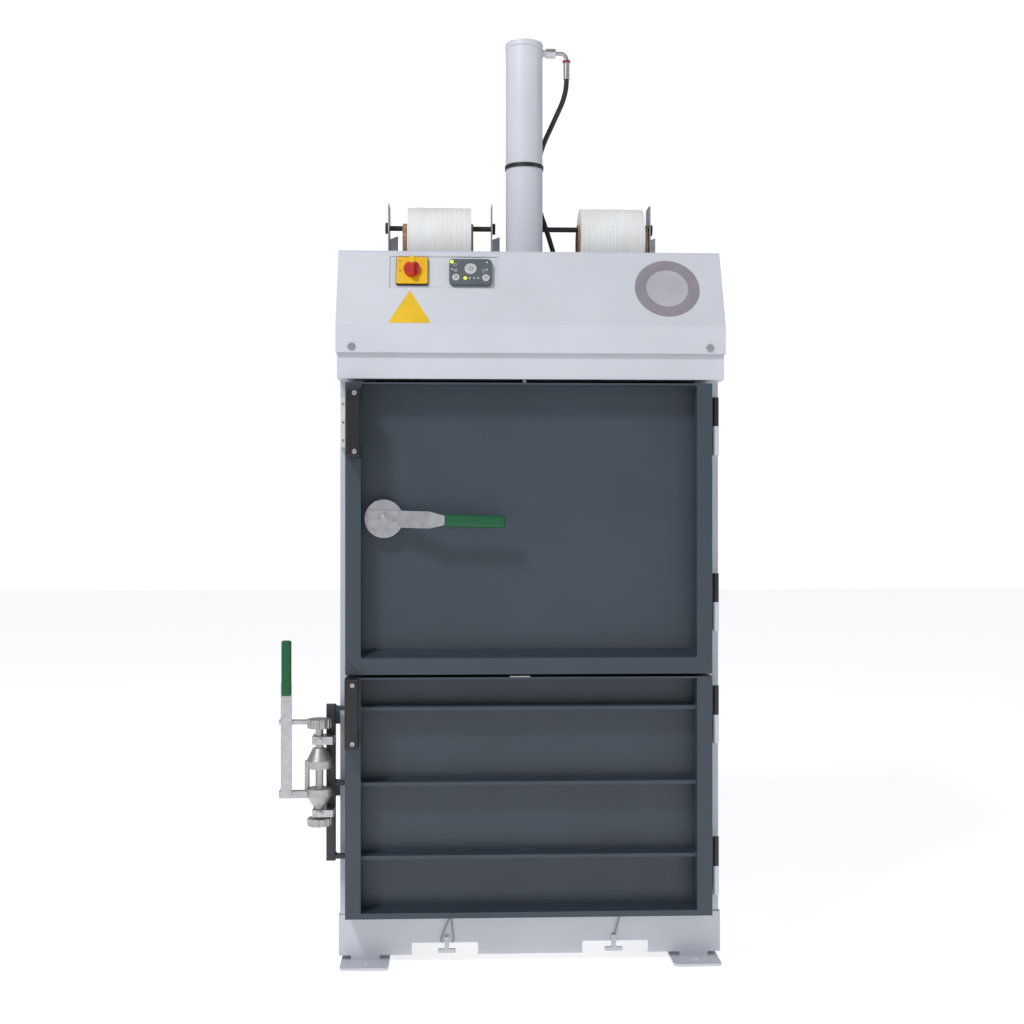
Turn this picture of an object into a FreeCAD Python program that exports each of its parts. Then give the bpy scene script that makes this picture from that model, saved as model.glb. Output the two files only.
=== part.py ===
import FreeCAD, Part
import math
import os

# A small upright baler, in millimetres. +Z is up and the doors face -Y. The origin is the centre of the four
# anchor holes in the feet, on the floor.

V = FreeCAD.Vector
X_AXIS = V(1, 0, 0)
Y_AXIS = V(0, 1, 0)
Z_AXIS = V(0, 0, 1)

# ---- driving dimensions ----
CHAMBER_WIDTH = 700.0
CHAMBER_DEPTH = 500.0
SIDE_WALL = 50.0
SHEET = 4.0
FRONT_GAP = 12.0
BASE_TOP = 100.0
FOOT_HEIGHT = 15.0
DOOR_OVERLAP = 31.0
DOOR_DEPTH = 55.0
DOOR_SEAT_GAP = 2.0
LOWER_DOOR_BOTTOM = 106.0
DOOR_SPLIT = 607.0
DOOR_SPLIT_GAP = 6.0
UPPER_DOOR_TOP = 1214.0
YOKE_Z = 1300.0
YOKE_THICKNESS = 20.0
SKIRT_BOTTOM = 1275.0
SKIRT_TOP = 1333.0
ROOF_Z = 1499.0
HOOD_OVERHANG = 5.0
HOOD_REACH = 60.0
HOOD_SLOPE_RUN = 71.0
HOOD_SHEET = 2.0
FIT = 0.3

CYLINDER_OD = 85.0
CYLINDER_BORE = 76.0
CYLINDER_TOP = 2027.0
CYLINDER_CAP = 12.0
CYLINDER_BOTTOM = YOKE_Z + YOKE_THICKNESS
ROD_D = 45.0
STROKE = 600.0
PLATE_THICKNESS = 40.0
PLATE_GAP = 6.0

SPOOL_D = 160.0
SPOOL_WIDTH = 148.0
CORE_LENGTH = 165.0
CORE_OD = 85.0
CORE_BORE = 76.0
SPOOL_SETBACK = 7.5
BRACKET_WIDTH = 60.0
SPOOL_ROD_Z = 1616.5
SPOOL_ROD_D = 12.0

HINGE_SETBACK = 13.0
HINGE_GAP = 3.0
DOOR_SHIFT = -4.0
PIN_D = 6.0
KNUCKLE_D = 13.0
KNUCKLE_LENGTH = 60.0

# ---- sizes that follow ----
CABINET_WIDTH = CHAMBER_WIDTH + 2 * SIDE_WALL
HALF = CABINET_WIDTH / 2
CHAMBER_HALF = CHAMBER_WIDTH / 2
CHAMBER_BACK = CHAMBER_DEPTH / 2
CHAMBER_FRONT = -CHAMBER_BACK
FRONT_Y = CHAMBER_FRONT - FRONT_GAP
HOOD_WIDTH = CABINET_WIDTH + 2 * HOOD_OVERHANG
HOOD_FRONT_Y = FRONT_Y - HOOD_REACH
SPOOL_Y = CYLINDER_OD / 2 + BRACKET_WIDTH / 2 + SPOOL_SETBACK
BACK_Y = CHAMBER_BACK + SHEET
DOOR_HALF = CHAMBER_HALF + DOOR_OVERLAP
DOOR_BACK_Y = FRONT_Y - DOOR_SEAT_GAP
DOOR_FRONT_Y = DOOR_BACK_Y - DOOR_DEPTH
DOOR_LEFT = DOOR_SHIFT - DOOR_HALF
DOOR_RIGHT = DOOR_SHIFT + DOOR_HALF
HINGE_X = DOOR_RIGHT + HINGE_GAP + KNUCKLE_D / 2
HINGE_Y = DOOR_FRONT_Y + HINGE_SETBACK
UPPER_DOOR_BOTTOM = DOOR_SPLIT + DOOR_SPLIT_GAP / 2
LOWER_DOOR_TOP = DOOR_SPLIT - DOOR_SPLIT_GAP / 2


# ---- small helpers ----
def box(x0, x1, y0, y1, z0, z1):
    """A block between two corners."""
    return Part.makeBox(x1 - x0, y1 - y0, z1 - z0, V(x0, y0, z0))


def rod(radius, start, end):
    """A round bar from one point to another."""
    along = end.sub(start)
    return Part.makeCylinder(radius, along.Length, start, along)


def ring(outer, inner, start, end):
    """A round tube from one point to another."""
    return rod(outer, start, end).cut(rod(inner, start, end))


def prism(points, along):
    """A closed outline of points pushed along a vector."""
    wire = Part.makePolygon([*points, points[0]])
    return Part.Face(wire).extrude(along)


def hexagon(centre, radius, along, across):
    """A six-sided face round a point, flat in two directions."""
    corners = []
    for step in range(7):
        angle = math.radians(60 * step)
        corners.append(centre + along * (radius * math.cos(angle)) + across * (radius * math.sin(angle)))
    return Part.Face(Part.makePolygon(corners))


def joined(pieces):
    """One solid out of pieces that meet."""
    first, *rest = pieces
    return first.multiFuse(rest).removeSplitter() if rest else first


def group(pieces):
    """Separate solids in one node."""
    return Part.makeCompound(pieces)


def mirror_x(shape):
    """The same shape on the other side of the machine."""
    return shape.mirror(V(0, 0, 0), X_AXIS)


def turned(shape, centre, axis, degrees):
    """A copy turned about an axis through a point."""
    copy = shape.copy()
    copy.rotate(centre, axis, degrees)
    return copy


def rounded(shape, radius, direction):
    """Rounds the straight edges that run along a direction."""
    edges = []
    for edge in shape.Edges:
        if edge.Curve.TypeId != "Part::GeomLine":
            continue
        if abs(abs(edge.tangentAt(edge.FirstParameter).dot(direction)) - 1) < 1e-6:
            edges.append(edge)
    return shape.makeFillet(radius, edges)


def write(name, shape):
    """Writes one node."""
    shape.exportStep(f"parts/{name}.step")


# ---- cabinet ----
LATCH_X = -CHAMBER_HALF + 43.0
LATCH_Z = 932.0
TONGUE_LENGTH = 65.0
TONGUE_WIDTH = 20.0
TONGUE_THICKNESS = 3.5
TONGUE_GAP = 9.0
SLOT_DEPTH = 75.0
SLOT_HEIGHT = 160.0


def side_wall(sign):
    """A welded box column: outer sheet, front and back returns, inner sheet, and closed ends."""
    outer = box(-HALF, -CHAMBER_HALF, FRONT_Y, BACK_Y, BASE_TOP, YOKE_Z)
    inside = box(-HALF + SHEET, -CHAMBER_HALF - SHEET, FRONT_Y + SHEET, BACK_Y - SHEET, 0, YOKE_Z - SHEET)
    wall = outer.cut(inside)
    if sign > 0:
        return mirror_x(wall)
    slot_y = FRONT_Y + SHEET
    slot = box(
        -CHAMBER_HALF - SHEET - 1, -CHAMBER_HALF + 1, slot_y, slot_y + SLOT_DEPTH,
        LATCH_Z - SLOT_HEIGHT / 2, LATCH_Z + SLOT_HEIGHT / 2,
    )
    return wall.cut(slot)


def back_wall():
    """Sheet between the side walls, with two stiffening channels welded outside."""
    sheet = box(-CHAMBER_HALF, CHAMBER_HALF, CHAMBER_BACK, BACK_Y, BASE_TOP, YOKE_Z)
    pieces = [sheet]
    for level in (430.0, 860.0):
        pieces.append(box(-HALF, HALF, BACK_Y, BACK_Y + 30, level, level + 60))
    return joined(pieces)


def chamber_floor():
    """Floor plate of the bale chamber, on the two base beams."""
    return box(-CHAMBER_HALF, CHAMBER_HALF, FRONT_Y + 10, CHAMBER_BACK, BASE_TOP - 20, BASE_TOP - 20 + 12)


APRON_HALF = HALF + 3.0
NOTCH_WIDTH = 140.0
NOTCH_HEIGHT = 25.0
NOTCH_X = 180.0
APRON_BOTTOM = FOOT_HEIGHT


def base_frame():
    """Four-sided base skirt with two strap notches in its front."""
    front_y = FRONT_Y - 4
    outer = box(-APRON_HALF, APRON_HALF, front_y, BACK_Y + 3, APRON_BOTTOM, BASE_TOP)
    inner = box(-APRON_HALF + 5, APRON_HALF - 5, front_y + 5, BACK_Y - 2, 0, BASE_TOP - 20)
    well = box(-CHAMBER_HALF, CHAMBER_HALF, front_y + 5, CHAMBER_BACK, 0, BASE_TOP + 1)
    frame = outer.cut(inner).cut(well)
    for sign in (-1, 1):
        centre = sign * NOTCH_X
        notch = box(
            centre - NOTCH_WIDTH / 2, centre + NOTCH_WIDTH / 2, front_y - 1, front_y + 6,
            APRON_BOTTOM - 1, APRON_BOTTOM + NOTCH_HEIGHT,
        )
        frame = frame.cut(rounded(notch, 4.0, Y_AXIS))
    return frame


FOOT_X = HALF - 53.0
FOOT_Y = 28.0 - FRONT_Y
FOOT_WIDTH = 101.0
FOOT_THICKNESS = 6.0
ANCHOR_D = 12.0


def feet():
    """Two welded foot bars with an anchor hole at each end, on the floor."""
    pieces = []
    for sign in (-1, 1):
        centre = sign * FOOT_X
        half = FOOT_WIDTH / 2
        plate = box(centre - half, centre + half, -FOOT_Y - 30, FOOT_Y + 30, 0, FOOT_THICKNESS)
        plate = rounded(plate, 10.0, Z_AXIS)
        web = box(centre - 30, centre + 30, FRONT_Y - 4, BACK_Y + 3, FOOT_THICKNESS, FOOT_HEIGHT)
        foot = joined([plate, web])
        for end in (-1, 1):
            foot = foot.cut(rod(ANCHOR_D / 2, V(centre, end * FOOT_Y, -1), V(centre, end * FOOT_Y, 20)))
        pieces.append(foot)
    return pieces


CLEAT_Y = FRONT_Y - 4


def cleats():
    """Two T-shaped strap cleats that stand out under the notches' upper edge."""
    pieces = []
    for sign in (-1, 1):
        x = sign * (NOTCH_X - 4)
        top = APRON_BOTTOM + NOTCH_HEIGHT
        stem = box(x - 4.5, x + 4.5, CLEAT_Y - 6, CLEAT_Y, top - 12, top + 14)
        bar = rounded(box(x - 19, x + 19, CLEAT_Y - 6, CLEAT_Y, top - 20, top - 12), 3.0, Y_AXIS)
        pieces.append(joined([stem, bar]))
    return pieces


def yoke_plate():
    """Thick plate across the side walls; it carries the cylinder."""
    plate = box(-HALF, HALF, CHAMBER_FRONT + 40, BACK_Y, YOKE_Z, YOKE_Z + YOKE_THICKNESS)
    bore = rod(ROD_D / 2 + 3, V(0, 0, YOKE_Z - 1), V(0, 0, YOKE_Z + YOKE_THICKNESS + 1))
    return plate.cut(bore)


def cabinet():
    write("side_wall_left", side_wall(-1))
    write("side_wall_right", side_wall(1))
    write("back_wall", back_wall())
    write("chamber_floor", chamber_floor())
    write("base_frame", base_frame())
    write("feet", group(feet()))
    write("strap_cleats", group(cleats()))
    write("yoke_plate", yoke_plate())


# ---- hood ----
SLOPE_RISE = ROOF_Z - SKIRT_TOP
SLOPE_ANGLE = math.degrees(math.atan2(SLOPE_RISE, HOOD_SLOPE_RUN))
SLOPE = FreeCAD.Placement(V(0, HOOD_FRONT_Y, SKIRT_TOP), FreeCAD.Rotation(X_AXIS, SLOPE_ANGLE))
HOOD_BACK_Y = BACK_Y + 2.0 + HOOD_SHEET
HOOD_HALF = HOOD_WIDTH / 2
FASCIA_BOTTOM = UPPER_DOOR_TOP + 8.0
FASCIA_Y = HOOD_FRONT_Y + 8.0
FASCIA_HALF = HOOD_HALF - HOOD_SHEET - FIT
SCREW_X = 372.0
SCREW_Z = SKIRT_BOTTOM + 12.0
PANEL_U = (-296.0, -67.0)
PANEL_V = (89.0, 167.0)
PANEL_SEAT = 8.0
GLAND = V(87, 49.3, ROOF_Z)


def on_slope(shape):
    """Moves a shape drawn flat (x across, y up the slope, z outward) onto the hood's slope."""
    copy = shape.copy()
    copy.Placement = SLOPE.multiply(copy.Placement)
    return copy


def hood_outline(inset, top):
    """Side outline of the hood, inset from its outside, up to a height."""
    normal_y = math.sin(math.radians(SLOPE_ANGLE))
    front = HOOD_FRONT_Y + inset
    slope_shift = inset / normal_y
    run = HOOD_SLOPE_RUN * (top - SKIRT_TOP) / SLOPE_RISE
    bend_drop = (slope_shift - inset) * SLOPE_RISE / HOOD_SLOPE_RUN
    return [
        V(0, front, SKIRT_BOTTOM - inset), V(0, front, SKIRT_TOP - bend_drop),
        V(0, HOOD_FRONT_Y + run + slope_shift, top), V(0, HOOD_BACK_Y - inset, top),
        V(0, HOOD_BACK_Y - inset, SKIRT_BOTTOM - inset),
    ]


def across(points, half):
    """A side outline pushed across the machine."""
    return prism([point - V(half, 0, 0) for point in points], V(2 * half, 0, 0))


def screw_hole(x, y):
    """Cutter for a screw's hole through a front sheet."""
    return rod(3.2, V(x, y - 1, SCREW_Z), V(x, y + 5, SCREW_Z))


def hood_cover():
    """Folded sheet cover with skirt, slope, cheeks and back; open at the bottom and under the roof."""
    top = ROOF_Z - HOOD_SHEET
    shell = across(hood_outline(0, top), HOOD_HALF)
    shell = shell.cut(across(hood_outline(HOOD_SHEET, top + 1), HOOD_HALF - HOOD_SHEET))
    window = box(*PANEL_U, *PANEL_V, -10, 10)
    shell = shell.cut(on_slope(window))
    for sign in (-1, 1):
        shell = shell.cut(screw_hole(sign * SCREW_X, HOOD_FRONT_Y))
    return shell


def hood_roof():
    """Flat sheet on the cheeks, with holes for the cylinder and the hose gland."""
    front = HOOD_FRONT_Y + HOOD_SLOPE_RUN - 1
    roof = box(-HOOD_HALF, HOOD_HALF, front, HOOD_BACK_Y, ROOF_Z - HOOD_SHEET, ROOF_Z)
    roof = roof.cut(rod(CYLINDER_OD / 2 + 3, V(0, 0, ROOF_Z - 9), V(0, 0, ROOF_Z + 9)))
    return roof.cut(rod(GLAND_R, V(GLAND.x, GLAND.y, ROOF_Z - 9), V(GLAND.x, GLAND.y, ROOF_Z + 9)))


def lower_fascia():
    """Folded channel behind the skirt that closes the gap above the upper door."""
    outer = box(-FASCIA_HALF, FASCIA_HALF, FASCIA_Y, FRONT_Y, FASCIA_BOTTOM, YOKE_Z)
    inner = box(
        -FASCIA_HALF + 3, FASCIA_HALF - 3, FASCIA_Y + 3, FRONT_Y + 1,
        FASCIA_BOTTOM + 3, YOKE_Z - 3,
    )
    fascia = outer.cut(inner)
    for sign in (-1, 1):
        fascia = fascia.cut(screw_hole(sign * SCREW_X, FASCIA_Y))
    return fascia


def hood_screws():
    """Two screws with cup washers and spacers that hold the skirt to the fascia."""
    pieces = []
    for sign in (-1, 1):
        x = sign * SCREW_X
        y = HOOD_FRONT_Y
        washer = rod(8, V(x, y - 1.5, SCREW_Z), V(x, y, SCREW_Z))
        head = rod(5, V(x, y - 4, SCREW_Z), V(x, y - 1.5, SCREW_Z))
        shank = rod(3, V(x, y, SCREW_Z), V(x, FASCIA_Y + 6, SCREW_Z))
        spacer = rod(6, V(x, y + HOOD_SHEET, SCREW_Z), V(x, FASCIA_Y, SCREW_Z))
        pieces.append(joined([washer, head, shank, spacer]))
    return group(pieces)


# ---- controls on the slope ----
SWITCH_U = -249.0
SWITCH_V = 129.0
SWITCH_SIZE = 65.0
SWITCH_FLOOR = -HOOD_SHEET
KNOB_R = 17.4
KEYPAD_U = -126.0
KEYPAD_V = 125.0
KEYPAD_WIDTH = 90.0
KEYPAD_HEIGHT = 62.0
KEYPAD_TOP = 8.0
BUTTONS = {
    "button_start": (-126.0, 131.0, 13.0),
    "button_left": (-157.0, 110.0, 8.0),
    "button_right": (-94.0, 109.0, 8.0),
}
BUTTON_TRAVEL = 1.5
BUTTON_FLOOR = 0.5


def control_plate():
    """Plate seated against the inside of the slope, behind its window."""
    u0, u1 = PANEL_U
    v0, v1 = PANEL_V
    plate = box(
        u0 - PANEL_SEAT, u1 + PANEL_SEAT, v0 - PANEL_SEAT, v1 + PANEL_SEAT,
        -2 * HOOD_SHEET, -HOOD_SHEET,
    )
    return on_slope(plate)


def switch_base():
    """Black block of the main switch."""
    half = SWITCH_SIZE / 2 + 1
    block = box(SWITCH_U - half, SWITCH_U + half, SWITCH_V - half, SWITCH_V + half, SWITCH_FLOOR, 4)
    return on_slope(rounded(block, 3.0, Z_AXIS))


def switch_plate():
    """Yellow plate on the switch block, with a hole for the knob's shaft."""
    half = SWITCH_SIZE / 2
    plate = box(SWITCH_U - half, SWITCH_U + half, SWITCH_V - half, SWITCH_V + half, 4, 6)
    plate = rounded(plate, 3.0, Z_AXIS)
    return on_slope(plate.cut(rod(7, V(SWITCH_U, SWITCH_V, 3), V(SWITCH_U, SWITCH_V, 7))))


def switch_knob():
    """Red round knob with a raised grip bar and a shaft that turns in the plate."""
    centre = V(SWITCH_U, SWITCH_V, 0)
    disc = rod(KNOB_R, centre + V(0, 0, 6 + FIT), centre + V(0, 0, 14))
    shaft = rod(7 - FIT, centre + V(0, 0, 4 + FIT), centre + V(0, 0, 7))
    grip = box(SWITCH_U - 5, SWITCH_U + 5, SWITCH_V - KNOB_R - 2, SWITCH_V + KNOB_R + 5, 13, 26)
    grip = rounded(grip, 4.0, Z_AXIS)
    return on_slope(joined([disc, shaft, grip]))


def keypad():
    """Rounded housing with three wells for its buttons."""
    half_u = KEYPAD_WIDTH / 2
    half_v = KEYPAD_HEIGHT / 2
    body = box(
        KEYPAD_U - half_u, KEYPAD_U + half_u, KEYPAD_V - half_v, KEYPAD_V + half_v,
        SWITCH_FLOOR, KEYPAD_TOP,
    )
    body = rounded(body, 10.0, Z_AXIS)
    for u, v, radius in BUTTONS.values():
        body = body.cut(rod(radius + FIT, V(u, v, BUTTON_FLOOR), V(u, v, KEYPAD_TOP + 1)))
    return on_slope(body)


def button(u, v, radius):
    """A domed push button that stands clear of its well's floor by its travel."""
    low = BUTTON_FLOOR + BUTTON_TRAVEL + FIT
    body = rod(radius, V(u, v, low), V(u, v, KEYPAD_TOP + 3))
    rim = [edge for edge in body.Edges if edge.BoundBox.ZMin > KEYPAD_TOP + 2]
    return on_slope(body.makeFillet(1.5, rim))


def hood():
    write("hood_cover", hood_cover())
    write("hood_roof", hood_roof())
    write("lower_fascia", lower_fascia())
    write("hood_screws", hood_screws())
    write("control_plate", control_plate())
    write("switch_base", switch_base())
    write("switch_plate", switch_plate())
    write("switch_knob", switch_knob())
    write("keypad", keypad())
    for name, (u, v, radius) in BUTTONS.items():
        write(name, button(u, v, radius))


# ---- cylinder, ram and press plate ----
FLANGE_R = 75.0
FLANGE_THICKNESS = 25.0
GLAND_RING = 12.0
PISTON_THICKNESS = 30.0
PORT_Z = 2007.0
BOSS_R = 8.0
BAND_Z = 1740.0
PLATE_TOP = YOKE_Z - PLATE_GAP
PLATE_BOTTOM = PLATE_TOP - PLATE_THICKNESS
PLATE_CLEARANCE = 5.0
PLATE_POCKETS = 5
PLATE_WEB = 10.0
SHOE_INSET = 65.0
TUBE_BOTTOM = CYLINDER_BOTTOM + FLANGE_THICKNESS
PISTON_TOP = CYLINDER_TOP - CYLINDER_CAP - 6.0


def cylinder_flange():
    """Round flange on the yoke with the rod's bore through it."""
    flange = rod(FLANGE_R, V(0, 0, CYLINDER_BOTTOM), V(0, 0, TUBE_BOTTOM))
    flange = flange.cut(rod(ROD_D / 2 + FIT, V(0, 0, CYLINDER_BOTTOM - 1), V(0, 0, TUBE_BOTTOM + 1)))
    for step in range(6):
        angle = math.radians(30 + 60 * step)
        x = (FLANGE_R - 13) * math.cos(angle)
        y = (FLANGE_R - 13) * math.sin(angle)
        bolt = hexagon(V(x, y, TUBE_BOTTOM), 9.0, X_AXIS, Y_AXIS).extrude(V(0, 0, 8))
        flange = flange.fuse(bolt)
    return flange.removeSplitter()


def cylinder_tube():
    """Honed tube with a port boss near its top."""
    top = CYLINDER_TOP - CYLINDER_CAP
    boss = rod(BOSS_R, V(CYLINDER_BORE / 2, 0, PORT_Z), V(CYLINDER_OD / 2 + 8, 0, PORT_Z))
    tube = rod(CYLINDER_OD / 2, V(0, 0, TUBE_BOTTOM), V(0, 0, top)).fuse(boss)
    tube = tube.cut(rod(CYLINDER_BORE / 2, V(0, 0, TUBE_BOTTOM - 1), V(0, 0, top + 1)))
    return tube.cut(rod(4, V(0, 0, PORT_Z), V(CYLINDER_OD / 2 + 9, 0, PORT_Z))).removeSplitter()


def cylinder_cap():
    """Plug that closes the top of the tube."""
    seam = CYLINDER_TOP - CYLINDER_CAP
    cap = rod(CYLINDER_OD / 2 + 0.8, V(0, 0, seam), V(0, 0, CYLINDER_TOP))
    rim = [edge for edge in cap.Edges if edge.BoundBox.ZMin > CYLINDER_TOP - 1]
    return cap.makeFillet(2.0, rim)


def clamp_band():
    """Thin black band round the tube with a clamp ear."""
    low = V(0, 0, BAND_Z - 4.5)
    high = V(0, 0, BAND_Z + 4.5)
    band = ring(CYLINDER_OD / 2 + 2.2, CYLINDER_OD / 2, low, high)
    ear = box(-5, 5, CYLINDER_OD / 2 + 1, CYLINDER_OD / 2 + 10, BAND_Z - 4.5, BAND_Z + 4.5)
    return joined([band, ear])


def ram():
    """Rod and piston in one piece; the rod is screwed to the press plate."""
    shaft = rod(ROD_D / 2, V(0, 0, PLATE_TOP), V(0, 0, PISTON_TOP - PISTON_THICKNESS))
    piston = rod(CYLINDER_BORE / 2 - FIT, V(0, 0, PISTON_TOP - PISTON_THICKNESS), V(0, 0, PISTON_TOP))
    return joined([shaft, piston])


def press_plate():
    """Ribbed plate as wide as the chamber less its running clearance, with four guide shoes."""
    half_x = CHAMBER_HALF - PLATE_CLEARANCE
    half_y = CHAMBER_BACK - PLATE_CLEARANCE
    plate = box(-half_x, half_x, -half_y, half_y, PLATE_BOTTOM, PLATE_BOTTOM + 12)
    web = box(-half_x, half_x, -half_y, half_y, PLATE_BOTTOM + 12, PLATE_TOP)
    pitch_x = (2 * half_x - 2 * ROD_D) / (PLATE_POCKETS - 1)
    pitch_y = 2 * half_y / 3
    for column in range(PLATE_POCKETS):
        if 2 * column + 1 == PLATE_POCKETS:
            continue
        side = 1 if 2 * column + 1 > PLATE_POCKETS else -1
        x = side * ROD_D + (column - PLATE_POCKETS // 2) * pitch_x - side * pitch_x / 2
        for row in (-1, 0, 1):
            y = row * pitch_y
            wall = PLATE_WEB / 2
            reach_x = pitch_x / 2 - wall
            reach_y = pitch_y / 2 - wall
            floor = PLATE_BOTTOM + 12
            pocket = box(x - reach_x, x + reach_x, y - reach_y, y + reach_y, floor, PLATE_TOP + 1)
            web = web.cut(pocket)
    shoes = []
    for sign in (-1, 1):
        for y in (SHOE_INSET - half_y, half_y - SHOE_INSET):
            edge = sign * half_x
            inner, outer = sorted((edge, sign * (CHAMBER_HALF - 0.4)))
            shoes.append(box(inner, outer, y - 30, y + 30, PLATE_BOTTOM, PLATE_TOP))
    return joined([plate, web, *shoes])


def press():
    write("cylinder_flange", cylinder_flange())
    write("cylinder_tube", cylinder_tube())
    write("cylinder_cap", cylinder_cap())
    write("clamp_band", clamp_band())
    write("piston_rod", ram())
    write("press_plate", press_plate())


# ---- power unit under the hood ----
UNIT_Z = YOKE_Z + YOKE_THICKNESS


def oil_tank():
    """Welded tank with a filler neck, on the yoke at the right."""
    right = CHAMBER_HALF + 30.0
    back = CHAMBER_BACK - 50.0
    tank = rounded(box(120, right, -180, back, UNIT_Z, UNIT_Z + 120), 8.0, Z_AXIS)
    neck = rod(22, V(right - 50, back - 50, UNIT_Z + 119), V(right - 50, back - 50, UNIT_Z + 140))
    room = box(123, right - 3, -177, back - 3, UNIT_Z + 3, UNIT_Z + 117)
    return joined([tank, neck]).cut(room)


def power_pack():
    """Electric motor with its foot and pump block, lying at the left behind the control box."""
    motor_z = UNIT_Z + 75
    motor = rod(65, V(-340, 60, motor_z), V(-180, 60, motor_z))
    foot = box(-310, -210, 10, 110, UNIT_Z, motor_z - 40)
    pump = box(-180, -105, 25, 95, motor_z - 40, motor_z + 40)
    return joined([motor, foot, pump])


def control_box():
    """Electrical enclosure on the yoke behind the control plate."""
    box_shell = rounded(box(-340, -80, -205, -90, UNIT_Z, UNIT_Z + 130), 5.0, Z_AXIS)
    return box_shell.cut(box(-338, -82, -203, -92, UNIT_Z + 2, UNIT_Z + 128))


# ---- hydraulic fittings and hose ----
HOSE_R = 5.75
GLAND_R = 11.0
HOSE_ROUTE = [
    V(98, 0, 1947.5), V(98, 0, 1915), V(72, 22, 1860), V(40, 50, 1795), V(28, 62, 1725),
    V(36, 64, 1668), V(55, 59, 1612), V(70.5, 54, 1560), V(81, 51, 1521),
]
HOSE_BEND = 0.45


def hose_wire(points):
    """Straight runs joined by tangent arcs, each as large as its two runs allow; also the wire's radii."""
    edges = []
    radii = []
    start = points[0]
    for before, corner, after in zip(points, points[1:], points[2:]):
        back = before.sub(corner)
        ahead = after.sub(corner)
        back_room = back.Length * (2 * HOSE_BEND if before is points[0] else HOSE_BEND)
        ahead_room = ahead.Length * (2 * HOSE_BEND if after is points[-1] else HOSE_BEND)
        reach = min(back_room, ahead_room)
        half_turn = (math.pi - back.getAngle(ahead)) / 2
        back.normalize()
        ahead.normalize()
        arc_start = corner + back * reach
        arc_end = corner + ahead * reach
        radius = reach / math.tan(half_turn)
        middle_out = (back + ahead).normalize()
        middle = corner + middle_out * (radius / math.cos(half_turn) - radius)
        edges.append(Part.LineSegment(start, arc_start).toShape())
        edges.append(Part.Arc(arc_start, middle, arc_end).toShape())
        radii.append(radius)
        start = arc_end
    edges.append(Part.LineSegment(start, points[-1]).toShape())
    return Part.Wire(edges), radii


def hydraulic_hose():
    """Rubber hose from the port's ferrule to the roof's gland."""
    path, radii = hose_wire(HOSE_ROUTE)
    heading = HOSE_ROUTE[1].sub(HOSE_ROUTE[0])
    section = Part.Wire(Part.makeCircle(HOSE_R, HOSE_ROUTE[0], heading))
    tube = path.makePipeShell([section], True, True)
    print("hose radii", [round(radius, 1) for radius in radii])
    print("hose length", round(path.Length, 1), "volume", round(tube.Volume, 1))
    print("section by length", round(math.pi * HOSE_R**2 * path.Length, 1))
    return tube


def hose_elbow():
    """Nut, bent elbow, collar and crimped ferrule between the port boss and the hose."""
    left = CYLINDER_OD / 2 + 8
    right = HOSE_ROUTE[0].x
    bend = 14.0
    pipe = 4.5
    collar_top = PORT_Z - 15.0
    nut = hexagon(V(left, 0, PORT_Z), 11.0, Y_AXIS, Z_AXIS).extrude(V(22, 0, 0))
    stem = rod(pipe, V(left + 21, 0, PORT_Z), V(right - bend, 0, PORT_Z))
    quarter = Part.makeTorus(bend, pipe, V(right - bend, 0, PORT_Z - bend), Y_AXIS, 0, 360, 360)
    elbow = quarter.common(box(right - bend, right + 8, -8, 8, PORT_Z - bend, PORT_Z + 8))
    neck = rod(pipe, V(right, 0, PORT_Z - bend), V(right, 0, collar_top - 1))
    collar = rod(8, V(right, 0, collar_top - 7), V(right, 0, collar_top))
    ferrule = rod(7, V(right, 0, collar_top - 6), HOSE_ROUTE[0])
    return joined([nut, stem, elbow, neck, collar, ferrule])


def hose_gland():
    """Gland that seats in the roof and takes the lower end of the hose."""
    heading = HOSE_ROUTE[-1].sub(HOSE_ROUTE[-2]).normalize()
    end = HOSE_ROUTE[-1]
    neck = rod(8.5, end, end + heading * 18)
    base = rod(GLAND_R, V(GLAND.x, GLAND.y, ROOF_Z - 6), V(GLAND.x, GLAND.y, ROOF_Z))
    flange = rod(GLAND_R + 4, V(GLAND.x, GLAND.y, ROOF_Z), V(GLAND.x, GLAND.y, ROOF_Z + 6))
    return joined([neck, base, flange])


def hydraulics():
    write("oil_tank", oil_tank())
    write("power_pack", power_pack())
    write("control_box", control_box())
    write("hose_elbow", hose_elbow())
    write("hydraulic_hose", hydraulic_hose())
    write("hose_gland", hose_gland())


# ---- strap spools ----
SPOOL_CENTRES = (-196.0, 208.0)
CORE_SHIFT = (-3.5, 3.5)
SPOOL_Z = SPOOL_ROD_Z + SPOOL_ROD_D / 2 + FIT - CORE_BORE / 2
BRACKET_TOP = 1669.5
BRACKET_SHEET = 3.0
BRACKET_FOOT = 20.0
BRACKETS = {"left": ((-315.0, 1), (-73.4, 1)), "right": ((12.0, -1), (299.3, 1))}
GUSSET_WIDTH = 20.0
GUSSET_TOP = 1603.0


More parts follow.
